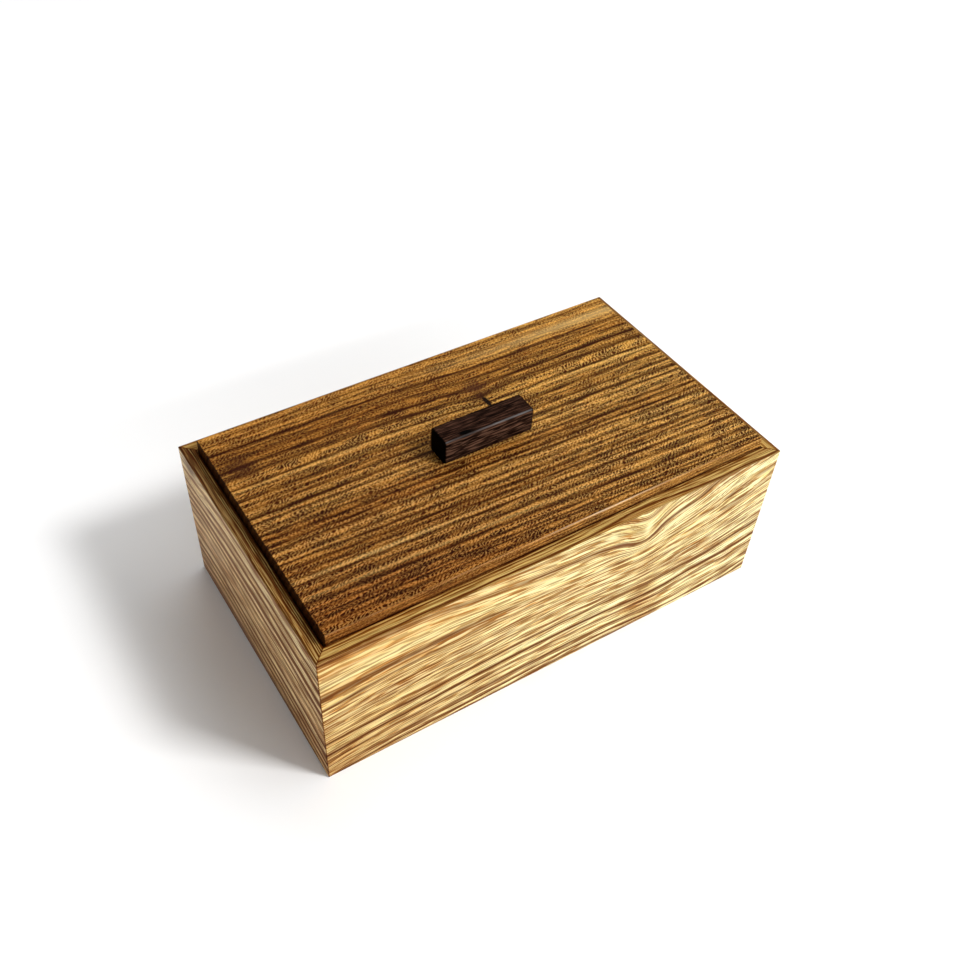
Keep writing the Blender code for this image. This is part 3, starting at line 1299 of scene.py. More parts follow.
FRONT_FIGURE = Figure(
    guides=(
        GuideRing(0.14, (
            (0.0, 0.02), (0.2, 0.028), (0.25, 0.045), (0.3, 0.075), (0.4, 0.11), (0.5, 0.14), (0.58, 0.158),
            (0.63, 0.2), (0.655, 0.235), (0.68, 0.247), (0.7, 0.222), (0.72, 0.175), (0.75, 0.13),
            (0.8, 0.085), (0.85, 0.01), (0.9, -0.03), (1.0, -0.08),
        )),
        GuideRing(0.295, (
            (0.0, 0.29), (0.1, 0.272), (0.2, 0.258), (0.25, 0.252), (0.35, 0.262), (0.5, 0.295),
            (0.6, 0.315), (0.66, 0.325), (0.71, 0.32), (0.75, 0.3), (0.8, 0.272), (0.85, 0.24), (0.9, 0.18),
            (1.0, 0.1),
        )),
        GuideRing(0.345, (
            (0.0, 0.39), (0.05, 0.372), (0.1, 0.352), (0.2, 0.336), (0.4, 0.34), (0.5, 0.345), (0.6, 0.374),
            (0.69, 0.39), (0.75, 0.36), (0.8, 0.335), (0.9, 0.28), (1.0, 0.2),
        )),
        GuideRing(0.63, (
            (0.0, 0.69), (0.1, 0.673), (0.2, 0.66), (0.3, 0.64), (0.4, 0.63), (0.5, 0.63), (0.65, 0.645),
            (0.73, 0.66), (0.8, 0.647), (0.85, 0.64), (0.9, 0.612), (1.0, 0.555),
        )),
        GuideRing(0.72, (
            (0.0, 0.79), (0.1, 0.757), (0.2, 0.74), (0.3, 0.72), (0.4, 0.713), (0.6, 0.72), (0.7, 0.745),
            (0.76, 0.745), (0.85, 0.715), (0.93, 0.7), (1.0, 0.66),
        )),
        GuideRing(0.93, (
            (0.0, 1.0), (0.1, 0.965), (0.2, 0.953), (0.35, 0.942), (0.5, 0.93), (0.65, 0.94), (0.76, 0.967),
            (0.85, 0.96), (0.93, 0.94), (1.0, 0.9),
        )),
    ),
    tones=(
        (-0.12, -0.2), (-0.04, 0.3), (-0.01, -0.3), (0.02, -0.4), (0.045, 0.4), (0.058, -0.1), (0.072, 0.1),
        (0.09, -0.3), (0.112, 0.0), (0.124, 0.55), (0.142, 0.85), (0.157, 0.2), (0.172, -0.3), (0.19, 0.0),
        (0.22, -0.5), (0.248, -0.9), (0.27, -0.2), (0.282, 0.5), (0.291, 0.8), (0.301, 0.9), (0.312, 0.1),
        (0.325, -0.4), (0.341, 0.8), (0.352, 0.5), (0.361, -0.2), (0.372, 0.4), (0.408, -0.5), (0.43, 0.4),
        (0.45, 0.0), (0.475, -0.4), (0.497, 0.5), (0.51, -0.2), (0.527, 0.3), (0.555, -0.7), (0.574, 0.45),
        (0.6, -0.3), (0.615, 0.4), (0.627, 0.95), (0.64, 0.2), (0.65, 0.05), (0.665, -0.8), (0.697, -0.9),
        (0.712, 0.5), (0.72, 1.0), (0.728, 1.0), (0.738, 0.2), (0.751, -0.6), (0.768, 0.0), (0.782, 0.8),
        (0.797, 0.0), (0.806, -0.2), (0.816, 0.25), (0.838, -0.9), (0.855, 0.2), (0.866, 0.9), (0.878, 0.7),
        (0.888, 0.6), (0.907, -0.9), (0.92, 0.2), (0.932, 1.0), (0.953, -0.8), (0.966, 0.5), (0.978, 0.9),
        (0.998, -0.2), (1.02, 0.6), (1.04, 0.8),
    ),
    patches=(
        # Darker and warmer towards the left end: partly the board's tone, partly painted falloff of the
        # light.
        Patch((0.0, 0.75), (0.42, 0.9), (0.8, 0.66, 0.52), 1.0),
        Patch((0.0, 1.0), (0.1, 0.35), (0.82, 0.72, 0.62), 1.0),
        Patch((0.705, 0.76), (0.045, 0.3), (0.8, 0.66, 0.52), 1.0),
        Patch((0.64, 0.02), (0.09, 0.09), (0.88, 0.8, 0.66), 0.7),
        Patch((0.684, 0.03), (0.009, 0.05), (1.0, 0.93, 0.52), 0.6, True),
        Patch((0.595, 0.05), (0.014, 0.022), (1.0, 0.93, 0.52), 0.65, True),
        Patch((0.625, 0.132), (0.024, 0.02), (0.17, 0.066, 0.027), 0.9, True),
        Patch((0.715, 0.132), (0.02, 0.02), (0.17, 0.066, 0.027), 0.9, True),
    ),
    fades=(
        Fade((0.56, 0.32), (0.28, 0.1), strength=0.85),
        Fade((0.28, 0.14), (0.22, 0.05), strength=0.3),
        Fade((0.7, 0.36), (0.5, 0.04), strength=0.6),
        Fade((1.0, 0.3), (0.3, 0.06), strength=0.5),
        Fade((0.85, 0.872), (0.25, 0.018), strength=0.6),
        Fade((0.05, 0.872), (0.16, 0.018), strength=0.6),
    ),
    calms=(Fade((0.12, 0.17), (0.35, 0.15), strength=0.4),),
    edge_course=(
        (0.0, 0.0), (0.36, 0.0), (0.5, 0.0), (0.6, 0.12), (0.68, 0.23), (0.74, 0.12), (0.79, 0.03),
        (1.0, 0.0),
    ),
    tilt=0.9,
    sway=0.0004,
    seed=1.0,
)
LEFT_FIGURE = Figure(
    guides=(
        GuideRing(0.12, (
            (0.0, 0.225), (0.1, 0.21), (0.3, 0.148), (0.5, 0.128), (0.7, 0.121), (0.9, 0.118), (1.0, 0.115),
        )),
        GuideRing(0.205, (
            (0.0, 0.288), (0.1, 0.272), (0.2, 0.247), (0.3, 0.222), (0.45, 0.208), (0.65, 0.2),
            (0.8, 0.218), (1.0, 0.22),
        )),
        GuideRing(0.395, (
            (0.0, 0.42), (0.05, 0.408), (0.1, 0.394), (0.3, 0.39), (0.6, 0.4), (0.8, 0.402), (0.9, 0.415),
            (1.0, 0.432),
        )),
        GuideRing(0.735, (
            (0.0, 0.745), (0.1, 0.725), (0.2, 0.714), (0.35, 0.718), (0.5, 0.735), (0.7, 0.75),
            (0.85, 0.775), (1.0, 0.81),
        )),
    ),
    tones=(
        (-0.06, -0.5), (-0.02, -0.9), (0.03, 0.4), (0.065, -1.0), (0.095, -0.9), (0.12, 0.7), (0.165, -0.6),
        (0.19, 0.2), (0.205, 1.0), (0.262, -1.0), (0.3, 0.7), (0.318, 0.9), (0.356, -0.6), (0.393, 1.0),
        (0.428, -0.7), (0.46, 0.5), (0.497, -0.4), (0.54, 0.3), (0.58, -0.1), (0.615, 0.1), (0.646, 0.65),
        (0.69, -0.8), (0.735, 1.0), (0.768, -0.4), (0.798, 0.9), (0.83, -0.4), (0.866, 0.5), (0.903, -0.1),
        (0.95, 0.4), (1.0, 0.5),
    ),
    patches=(
        # Darker towards the bottom, most near the front: painted shade.
        Patch((0.8, 1.05), (0.9, 0.4), (0.8, 0.69, 0.56), 0.8),
        # Golden cover, strongest towards the back: painted falloff of the light.
        Patch((0.1, 0.45), (0.6, 0.9), (1.0, 0.74, 0.42), 0.2, True),
        Patch((0.09, -0.05), (0.06, 0.05), (0.1, 0.04, 0.015), 0.8, True),
    ),
    edge_tones=(
        (0.0, -0.6), (0.03, -0.2), (0.07, 0.8), (0.11, -0.2), (0.18, -0.3), (0.25, 0.2), (0.31, 0.8),
        (0.35, -0.3), (0.39, 0.8), (0.43, -0.4), (0.47, 0.8), (0.51, -0.2), (0.55, 0.7), (0.6, 1.0),
    ),
    edge_patches=(
        # Darker outer part of the left rim towards the back: painted shadow of the lid.
        Patch((0.05, 0.1), (0.6, 0.24), (0.44, 0.38, 0.44), 1.0),
        Patch((0.5, 0.1), (1.5, 0.2), (0.8, 0.76, 0.76), 1.0),
        Patch((0.2, 0.22), (0.3, 0.03), (0.03, 0.012, 0.005), 0.7, True),
        Patch((0.15, 0.38), (0.3, 0.03), (0.03, 0.012, 0.005), 0.7, True),
    ),
    tilt=0.8,
    sway=0.0004,
    bite=1.1,
    contrast=1.75,
    tint=(1.0, 0.83, 0.8),
    seed=23.0,
)
BACK_FIGURE = Figure(
    guides=(
        GuideRing(0.1, ((0.0, 0.06), (0.25, 0.12), (0.5, 0.1), (0.75, 0.05), (1.0, 0.09))),
        GuideRing(0.45, ((0.0, 0.4), (0.2, 0.43), (0.5, 0.45), (0.8, 0.41), (1.0, 0.44))),
        GuideRing(0.85, ((0.0, 0.88), (0.3, 0.86), (0.5, 0.85), (0.7, 0.87), (1.0, 0.83))),
    ),
    tones=(
        (-0.06, -0.2), (-0.02, 0.6), (0.03, -0.4), (0.09, 0.9), (0.13, -0.5), (0.18, 0.6), (0.215, -0.4),
        (0.255, 0.9), (0.3, -0.5), (0.35, 0.7), (0.39, -0.4), (0.44, 0.95), (0.47, -0.3), (0.5, 0.5),
        (0.54, -0.6), (0.59, 0.85), (0.63, -0.4), (0.67, 0.6), (0.71, -0.5), (0.745, 0.9), (0.785, -0.4),
        (0.82, 0.5), (0.85, -0.4), (0.88, 0.85), (0.915, -0.5), (0.955, 0.8), (1.0, -0.2),
    ),
    tilt=0.7,
    sway=0.0012,
    bite=0.8,
    contrast=0.7,
    tint=(1.0, 0.85, 0.7),
    seed=41.0,
)
RIGHT_FIGURE = Figure(
    guides=(
        GuideRing(0.15, ((0.0, 0.11), (0.3, 0.15), (0.5, 0.15), (0.8, 0.1), (1.0, 0.12))),
        GuideRing(0.55, ((0.0, 0.52), (0.25, 0.55), (0.5, 0.55), (0.75, 0.57), (1.0, 0.6))),
        GuideRing(0.9, ((0.0, 0.86), (0.3, 0.89), (0.5, 0.9), (0.8, 0.92), (1.0, 0.95))),
    ),
    tones=(
        (-0.04, -0.3), (0.03, 0.6), (0.07, -0.4), (0.11, 0.9), (0.16, -0.6), (0.215, 0.7), (0.255, -0.4),
        (0.3, 0.9), (0.35, -0.6), (0.4, 0.6), (0.45, -0.5), (0.505, 0.9), (0.55, -0.4), (0.6, 0.6),
        (0.64, -0.5), (0.68, 0.95), (0.72, -0.4), (0.76, 0.5), (0.795, -0.4), (0.83, 0.85), (0.865, -0.4),
        (0.9, 0.8), (0.935, -0.5), (0.97, 0.8), (1.02, -0.2),
    ),
    tilt=0.7,
    sway=0.0012,
    bite=0.8,
    contrast=0.7,
    tint=(1.0, 0.87, 0.74),
    seed=59.0,
)
LID_FIGURE = Figure(
    guides=(
        GuideRing(0.13, (
            (0.0, 0.113), (0.2, 0.118), (0.4, 0.121), (0.5, 0.13), (0.6, 0.144), (0.8, 0.145), (1.0, 0.15),
        )),
        GuideRing(0.285, (
            (0.0, 0.258), (0.2, 0.256), (0.35, 0.262), (0.45, 0.277), (0.5, 0.285), (0.57, 0.302),
            (0.62, 0.294), (0.75, 0.292), (1.0, 0.298),
        )),
        GuideRing(0.33, (
            (0.0, 0.308), (0.2, 0.313), (0.4, 0.32), (0.5, 0.33), (0.56, 0.342), (0.62, 0.347),
            (0.8, 0.352), (1.0, 0.36),
        )),
        GuideRing(0.7, ((0.0, 0.672), (0.25, 0.685), (0.5, 0.7), (0.75, 0.716), (1.0, 0.735))),
        GuideRing(0.9, ((0.0, 0.875), (0.25, 0.885), (0.5, 0.9), (0.75, 0.918), (1.0, 0.935))),
    ),
    tones=(
        (-0.03, 0.0), (-0.008, -0.5), (0.006, 0.4), (0.03, -0.5), (0.05, 0.4), (0.062, -0.3), (0.074, 0.4),
        (0.086, -0.4), (0.098, 0.2), (0.109, -0.3), (0.122, 1.0), (0.134, 0.4), (0.142, 0.0), (0.152, 0.4),
        (0.165, -0.1), (0.178, 0.6), (0.197, -0.1), (0.212, 0.0), (0.23, 1.0), (0.245, -0.1), (0.256, 0.2),
        (0.274, 0.9), (0.296, -0.2), (0.312, -0.1), (0.322, 0.8), (0.333, -0.8), (0.345, 0.2), (0.36, 0.0),
        (0.382, 0.8), (0.396, -0.3), (0.409, 0.5), (0.42, -0.1), (0.433, 0.8), (0.448, -0.5), (0.461, 0.3),
        (0.473, 1.0), (0.489, -0.5), (0.503, 0.7), (0.514, -0.7), (0.528, 0.0), (0.539, 0.4), (0.55, -0.4),
        (0.562, 0.7), (0.575, -0.2), (0.589, 0.9), (0.602, -0.5), (0.611, 0.2), (0.62, 0.9), (0.631, -0.4),
        (0.64, 0.8), (0.65, 0.3), (0.66, -1.0), (0.671, 0.0), (0.684, 0.6), (0.697, -0.5), (0.71, 0.8),
        (0.723, -0.4), (0.741, 0.8), (0.752, -0.2), (0.767, 0.8), (0.776, -0.1), (0.785, 0.6),
        (0.796, -0.9), (0.811, 0.9), (0.824, -0.3), (0.84, 0.4), (0.852, 0.6), (0.864, -0.8), (0.878, 0.2),
        (0.893, 0.9), (0.907, -0.3), (0.925, 0.7), (0.935, -0.2), (0.946, 0.7), (0.953, 0.0), (0.961, 0.8),
        (0.972, -0.3), (0.982, 0.5), (1.0, 0.0),
    ),
    patches=(
        # Darker towards the left end: painted falloff of the light.
        Patch((0.0, 0.55), (0.8, 1.5), (0.72, 0.62, 0.6), 1.0),
        Patch((0.25, 0.195), (0.75, 0.065), (0.72, 0.62, 0.5), 0.9),
        Patch((0.45, 0.405), (0.6, 0.035), (0.84, 0.78, 0.72), 0.8),
        Patch((0.35, 0.595), (0.85, 0.045), (0.74, 0.62, 0.5), 0.9),
        Patch((0.15, 0.745), (0.6, 0.03), (0.75, 0.66, 0.55), 0.8),
        # Darker at the front left corner: painted falloff of the light.
        Patch((0.05, 0.94), (0.45, 0.11), (0.74, 0.6, 0.54), 0.9),
        Patch((0.5, 0.0), (1.5, 0.35), (0.99, 0.94, 0.8), 1.0),
        # Darker towards the front: painted falloff of the light.
        Patch((0.5, 0.85), (2.0, 0.35), (0.9, 0.85, 0.86), 1.0),
        Patch((0.55, 0.99), (1.5, 0.03), (0.78, 0.7, 0.62), 0.8),
        # Thin golden streaks along single rings, laid over the wood: painted sheen.
        Patch((0.2, 0.797), (0.17, 0.006), (1.0, 0.72, 0.24), 0.26, True),
        Patch((0.85, 0.334), (0.2, 0.006), (1.0, 0.68, 0.2), 0.28, True),
        Patch((0.22, 0.333), (0.26, 0.007), (1.0, 0.62, 0.17), 0.22, True),
        Patch((0.3, 0.872), (0.32, 0.006), (1.0, 0.7, 0.22), 0.2, True),
        Patch((0.95, 0.07), (0.3, 0.022), (1.0, 0.74, 0.28), 0.35, True),
        Patch((0.045, 0.23), (0.028, 0.075), (0.035, 0.009, 0.004), 0.7, True),
        Patch((0.572, 0.225), (0.025, 0.04), (0.058, 0.018, 0.008), 0.75, True),
        Patch((0.566, 0.285), (0.01, 0.03), (0.045, 0.012, 0.004), 0.8, True),
        Patch((0.57, 0.318), (0.004, 0.028), (0.006, 0.002, 0.001), 2.6, True),
    ),
    calms=(Fade((0.5, 0.0), (1.5, 0.3), strength=0.35),),
    edge_tones=(
        (0.0, -0.1), (0.07, -0.3), (0.14, 0.4), (0.22, -0.3), (0.3, 0.5), (0.38, -0.3), (0.44, 0.2),
        (0.475, 0.4), (0.51, 1.0), (0.56, 1.0), (0.62, 0.3), (1.0, 0.3),
    ),
    edge_patches=(
        Patch((0.0, 0.3), (0.5, 1.2), (0.62, 0.48, 0.42), 1.0),
        # Cream streak near the top of the front edge: a painted highlight.
        Patch((0.62, 0.01), (0.13, 0.03), (0.98, 0.84, 0.55), 0.65, True),
    ),
    tilt=0.5,
    sway=0.0004,
    tint=(0.91, 0.84, 0.84),
    seed=77.0,
)
HANDLE_FIGURE = Figure(
    guides=(
        GuideRing(0.2, ((0.0, 0.18), (0.5, 0.2), (1.0, 0.22))),
        GuideRing(0.8, ((0.0, 0.79), (0.5, 0.8), (1.0, 0.83))),
    ),
    tones=(
        (-0.1, 0.3), (0.05, 0.6), (0.12, -0.3), (0.2, 0.7), (0.28, -0.2), (0.38, 0.5), (0.45, -0.4),
        (0.52, 0.7), (0.6, -0.3), (0.7, 0.6), (0.78, -0.3), (0.86, 0.8), (0.95, 0.5), (1.05, 0.8),
    ),
    edge_tones=(
        (0.0, 0.2), (0.08, 0.6), (0.16, -0.3), (0.25, 0.5), (0.33, -0.4), (0.42, 0.7), (0.5, -0.3),
        (0.6, 0.6), (0.7, -0.4), (0.8, 0.7), (0.9, -0.3), (1.0, 0.5), (1.05, -0.1), (1.1, 0.9), (1.2, 1.0),
    ),
    edge_patches=(Patch((0.25, 0.18), (0.06, 0.11), (0.001, 0.001, 0.001), 2.2, True),),
    tilt=0.6,
    seed=91.0,
)


@dataclass
class WallFrame:
    """The four mitred boards that stand round the box.

    Attributes:
        thickness: Thickness of a board.
        rebate_inset: How far in the rim reaches.
        ledge_height: Height of the ledge that carries the lid.
        groove_depth: Depth of the groove for the base.
        groove_bottom: Height of the groove's lower side.
        groove_top: Height of its upper side.
        arris: Radius of the outer edges.
        inner_arris: Radius of the rim's and ledge's inner edges.
        mitre_gap: Half the open line of a mitre.
        tongue_width: Width of the tongue across a mitre.
        tongue_thickness: Its thickness.
        tongue_inset: How far its middle lies from the outer faces.
        tongue_room: Room round it.
        corner: The outer corner at the top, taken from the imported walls.
        arris_segments: Faces round an outer edge.
        inner_segments: Faces round an inner edge.
    """

    thickness: float = 0.0100
    rebate_inset: float = 0.0060
    ledge_height: float = 0.0753
    groove_depth: float = 0.0040
    groove_bottom: float = 0.0050
    groove_top: float = 0.0096
    arris: float = 0.0005
    inner_arris: float = 0.00025
    mitre_gap: float = 0.00003
    tongue_width: float = 0.0080
    tongue_thickness: float = 0.0030
    tongue_inset: float = 0.0065
    tongue_room: float = 0.0002
    corner: Vector = field(init=False)
    arris_segments: int = 4
    inner_segments: int = 2

    def __post_init__(self) -> None:
        """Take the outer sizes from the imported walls."""
        self.corner = CAD_BOX[1].copy()
        self.corner.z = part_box("front_wall")[1].z

    def build(self) -> None:
        """Model the four walls and dress them."""
        figures = {
            Side.FRONT: FRONT_FIGURE,
            Side.RIGHT: RIGHT_FIGURE,
            Side.BACK: BACK_FIGURE,
            Side.LEFT: LEFT_FIGURE,
        }
        long_board = self._board(self.corner.x, self.corner.y)
        short_board = self._board(self.corner.y, self.corner.x)
        for side, figure in figures.items():
            pattern = long_board if side in (Side.FRONT, Side.BACK) else short_board
            name = f"{side.name.lower()}_wall"
            wall = pattern.turned_copy(f"{name}_board", side.turn)
            self._slot_for_tongues(wall, side)
            wall.smooth()
            material = FIGURED_WOOD.dress(f"{name}_wood", self.place(side), figure)
            wall.deliver(BOX_BODY, "figured_wood", material, name)
        long_board.discard()
        short_board.discard()
    def place(self, side: Side) -> BoardPlace:
        """Work out where a side's wood is measured from, at the outer face's upper left.

        Args:
            side: The side.

        Returns:
            The place of its board.
        """
        along_x = side in (Side.FRONT, Side.BACK)
        half, offset = (self.corner.x, self.corner.y) if along_x else (self.corner.y, self.corner.x)
        return BoardPlace(
            corner=side.direction((-half, -offset, self.corner.z)),
            along=side.direction((1.0, 0.0, 0.0)),
            down=(0.0, 0.0, -1.0),
            inward=side.direction((0.0, 1.0, 0.0)),
            length=2 * half,
            height=self.corner.z,
            mitred=True,
        )

    def _board(self, half: float, offset: float) -> Workpiece:
        """Model one board as it stands at the front.

        Args:
            half: Half its length.
            offset: How far its outer face lies from the middle of the box.

        Returns:
            The board, mitred and rounded.
        """
        height = self.corner.z
        board = Workpiece.add(
            "board",
            bpy.ops.mesh.primitive_plane_add,
            (height, self.thickness, 1.0),
            size=1.0,
            location=(-half, -offset + self.thickness / 2, height / 2),
            rotation=(0.0, math.pi / 2, 0.0),
        )
        rebate = -offset + self.rebate_inset
        inner = -offset + self.thickness
        groove = inner - self.groove_depth
        with board.editing():
            for level in (self.groove_bottom, self.groove_top, self.ledge_height):
                board.slice(Vector((0.0, 0.0, level)), UPRIGHT)
            for depth in (rebate, groove):
                board.slice(Vector((0.0, depth, 0.0)), Vector((0.0, 1.0, 0.0)))
            board.pick(Part.FACES, lambda corners: self._is_cut_away(corners, rebate, groove))
            bpy.ops.mesh.delete(type="FACE")
            bpy.ops.mesh.select_all(action="SELECT")
            bpy.ops.mesh.dissolve_limited(angle_limit=FLAT_ANGLE)
            bpy.ops.mesh.extrude_region_move(TRANSFORM_OT_translate={"value": (2 * half, 0.0, 0.0)})
            board.face_outwards()
            board.pick(Part.EDGES, lambda corners: all(self._near(c.y, -offset) for c in corners))
            board.round_picked(self.arris, self.arris_segments)
            board.pick(Part.EDGES, lambda corners: self._is_inner_arris(corners, rebate, inner))
            board.round_picked(self.inner_arris, self.inner_segments)
            for end in (-1.0, 1.0):
                seam = Vector((end * (half - self.mitre_gap), -offset, 0.0))
                board.slice(seam, Vector((end, 1.0, 0.0)), remove=True)
        return board

    @staticmethod
    def _near(value: float, target: float) -> bool:
        """Return whether two lengths agree."""
        return abs(value - target) < PLACE_TOLERANCE
    def _is_cut_away(self, corners: list[Vector], rebate: float, groove: float) -> bool:
        """Find out whether a cell of the section lies in the rebate or in the groove.

        Args:
            corners: The cell's corners.
            rebate: Where the rebate starts.
            groove: Where the groove starts.

        Returns:
            Whether it does.
        """
        middle = sum(corners, Vector()) / len(corners)
        in_rebate = middle.z > self.ledge_height and middle.y > rebate
        in_groove = self.groove_bottom < middle.z < self.groove_top and middle.y > groove
        return in_rebate or in_groove
    def _is_inner_arris(self, corners: list[Vector], rebate: float, inner: float) -> bool:
        """Find out whether an edge is the rim's or the ledge's long inner edge.

        Args:
            corners: The edge's ends.
            rebate: Where the rim ends.
            inner: Where the board's inner face lies.

        Returns:
            Whether it is.
        """
        at_rim = all(self._near(c.y, rebate) and self._near(c.z, self.corner.z) for c in corners)
        at_ledge = all(self._near(c.y, inner) and self._near(c.z, self.ledge_height) for c in corners)
        return at_rim or at_ledge
    def _slot_for_tongues(self, wall: Workpiece, side: Side) -> None:
        """Cut the slots that take the tongues at both ends of a wall.

        Args:
            wall: The wall.
            side: The side that it stands on.
        """
        low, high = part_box("front_left_tongue")
        size = Vector((self.tongue_width, self.tongue_thickness, high.z - low.z))
        half_size = size / 2 + Vector((self.tongue_room,) * 3)
        for end in (-1.0, 1.0):
            across_x, across_y = self._corner_signs(side, end)
            slot = Workpiece.block("slot", -half_size, half_size)
            slot.obj.rotation_euler = Euler((0.0, 0.0, math.atan2(across_x, -across_y)))
            slot.obj.location = (
                across_x * (self.corner.x - self.tongue_inset),
                across_y * (self.corner.y - self.tongue_inset),
                (low.z + high.z) / 2,
            )
            slot.settle()
            wall.carve(slot)

    @staticmethod
    def _corner_signs(side: Side, end: float) -> tuple[float, float]:
        """Return on which side of the middle, in X and Y, an end of a wall lies."""
        x, y, _ = side.direction((end, -1.0, 0.0))
        return math.copysign(1.0, x), math.copysign(1.0, y)


@dataclass
class HandleScrews:
    """The two countersunk screws that hold the handle from below.

    Attributes:
        head_radius: Radius of the head.
        head_depth: Height of the countersunk head.
        shank_radius: Radius of the shank.
        tip_length: Length of the tip.
        tip_share: Radius of its point, as a share of the shank's.
        slot_width: Width of the driver slot.
        slot_depth: Depth of the driver slot.
        hole_room: Room round a screw in its hole.
        overrun: How far a hole's cutter reaches below the head.
        sides: Faces round a screw.
    """

    head_radius: float = 0.00275
    head_depth: float = 0.0016
    shank_radius: float = 0.0014
    tip_length: float = 0.0030
    tip_share: float = 0.12
    slot_width: float = 0.0007
    slot_depth: float = 0.0008
    hole_room: float = 0.00025
    overrun: float = 0.0010
    sides: int = 48

    NAMES = ("handle_screw_left", "handle_screw_right")

    def build(self) -> None:
        """Model and dress both screws."""
        brass = BrassFinish().dress("turned_brass")
        for name in self.NAMES:
            screw = self._turned(f"{name}_turned", name, 0.0)
            low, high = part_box(name)
            middle = (low + high) / 2
            reach = Vector((self.head_radius + self.overrun, self.slot_width / 2, 0.0))
            slot_low = Vector((middle.x, middle.y, low.z - self.overrun)) - reach
            slot_high = Vector((middle.x, middle.y, low.z + self.slot_depth)) + reach
            screw.carve(Workpiece.block("driver_slot", slot_low, slot_high))
            screw.smooth()
            screw.deliver(LID_BODY, "brass", brass, name)

    def bore(self, piece: Workpiece) -> None:
        """Cut the holes of both screws into a piece."""
        for name in self.NAMES:
            piece.carve(self._turned("screw_hole", name, self.hole_room))

    def _turned(self, label: str, node: str, room: float) -> Workpiece:
        """Turn a screw, or with room the cutter of its hole.

        Args:
            label: The piece's name.
            node: The CAD node whose place it takes.
            room: What the radii and the length gain.

        Returns:
            The piece.
        """
        low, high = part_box(node)
        middle = (low + high) / 2
        head = self.head_radius + room
        shank = self.shank_radius + room
        start = low.z - (self.overrun if room else 0.0)
        piece = Workpiece.add(
            label,
            bpy.ops.mesh.primitive_circle_add,
            vertices=self.sides,
            radius=head,
            fill_type="NGON",
            location=(middle.x, middle.y, start),
        )
        stations = [(head, low.z)] if room else []
        stations += [
            (shank, low.z + self.head_depth),
            (shank, high.z - self.tip_length),
            (shank * self.tip_share, high.z + room),
        ]
        with piece.editing():
            bpy.ops.mesh.select_all(action="SELECT")
            radius = head
            level = start
            for next_radius, next_level in stations:
                rise = (0.0, 0.0, next_level - level)
                bpy.ops.mesh.extrude_region_move(TRANSFORM_OT_translate={"value": rise})
                factor = next_radius / radius
                centre = (middle.x, middle.y, next_level)
                bpy.ops.transform.resize(value=(factor, factor, 1.0), center_override=centre)
                radius = next_radius
                level = next_level
            piece.face_outwards()
        return piece


@dataclass
class LidPanel:
    """The flat lid that rests on the ledge.

    Attributes:
        arris: Radius of its edges.
        segments: Faces round an edge.
    """

    arris: float = 0.0004
    segments: int = 3

    def build(self, screws: HandleScrews) -> None:
        """Model the lid, bore it for the screws and dress it.

        Args:
            screws: The screws that come up through it.
        """
        low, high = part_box("lid_panel")
        lid = Workpiece.block("lid_board", low, high)
        lid.round_all(self.arris, self.segments)
        screws.bore(lid)
        lid.smooth()
        place = BoardPlace(
            corner=(low.x, high.y, high.z),
            along=(1.0, 0.0, 0.0),
            down=(0.0, -1.0, 0.0),
            inward=(0.0, 0.0, -1.0),
            length=high.x - low.x,
            height=high.y - low.y,
            arris_low=True,
        )
        wood = LID_WOOD.dress("lid_panel_wood", place, LID_FIGURE)
        lid.deliver(LID_BODY, "lid_wood", wood, "lid_panel")


@dataclass
class HandleBar:
    """The square dark bar on the lid.

    Attributes:
        arris: Radius of its edges.
        segments: Faces round an edge.
    """

    arris: float = 0.0011
    segments: int = 4

    def build(self, screws: HandleScrews) -> None:
        """Model the bar, bore it for the screws and dress it.

        Args:
            screws: The screws that hold it.
        """
        low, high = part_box("handle")
        bar = Workpiece.block("handle_bar", low, high)
        bar.round_all(self.arris, self.segments)
        screws.bore(bar)
        bar.smooth()
        place = BoardPlace(
            corner=(low.x, low.y, high.z),
            along=(1.0, 0.0, 0.0),
            down=(0.0, 0.0, -1.0),
            inward=(0.0, 1.0, 0.0),
            length=high.x - low.x,
            height=high.z - low.z,
        )
        wood = DARK_WOOD.dress("handle_wood", place, HANDLE_FIGURE)
        bar.deliver(LID_BODY, "dark_wood", wood, "handle")


@dataclass
class FeltLining:
    """The cut sheet of felt on the base.

    Attributes:
        cell: Pitch of its mesh.
        swell: How far its surface and edges wander.
        waves: How many bumps lie on a metre, coarse and fine.
        fine_share: The fine bumps' share of the swell.
        smooth_angle: The angle up to which its faces are shaded smooth.
    """

    cell: float = 0.0016
    swell: float = 0.00012
    waves: tuple[float, float] = (300.0, 900.0)
    fine_share: float = 0.4
    smooth_angle: float = math.radians(50)

    def build(self) -> None:
        """Model the sheet, roughen it and dress it."""
        low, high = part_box("felt_lining")
        size = high - low
        sheet = Workpiece.add(
            "felt_sheet",
            bpy.ops.mesh.primitive_grid_add,
            (size.x - 2 * self.swell, size.y - 2 * self.swell, 1.0),
            x_subdivisions=round(size.x / self.cell),
            y_subdivisions=round(size.y / self.cell),
            size=1.0,
            location=((low.x + high.x) / 2, (low.y + high.y) / 2, high.z - self.swell),
        )
        for vert in sheet.obj.data.vertices:
            coarse, fine = (noise.noise_vector(vert.co * wave) for wave in self.waves)
            vert.co += (coarse * (1.0 - self.fine_share) + fine * self.fine_share) * self.swell
        sheet.modify("SOLIDIFY", thickness=size.z - 2 * self.swell, offset=-1.0)
        sheet.shade(self.smooth_angle)
        felt = FeltFinish().dress("green_felt")
        obj = sheet.deliver(BOX_BODY, "felt", felt, "felt_lining")


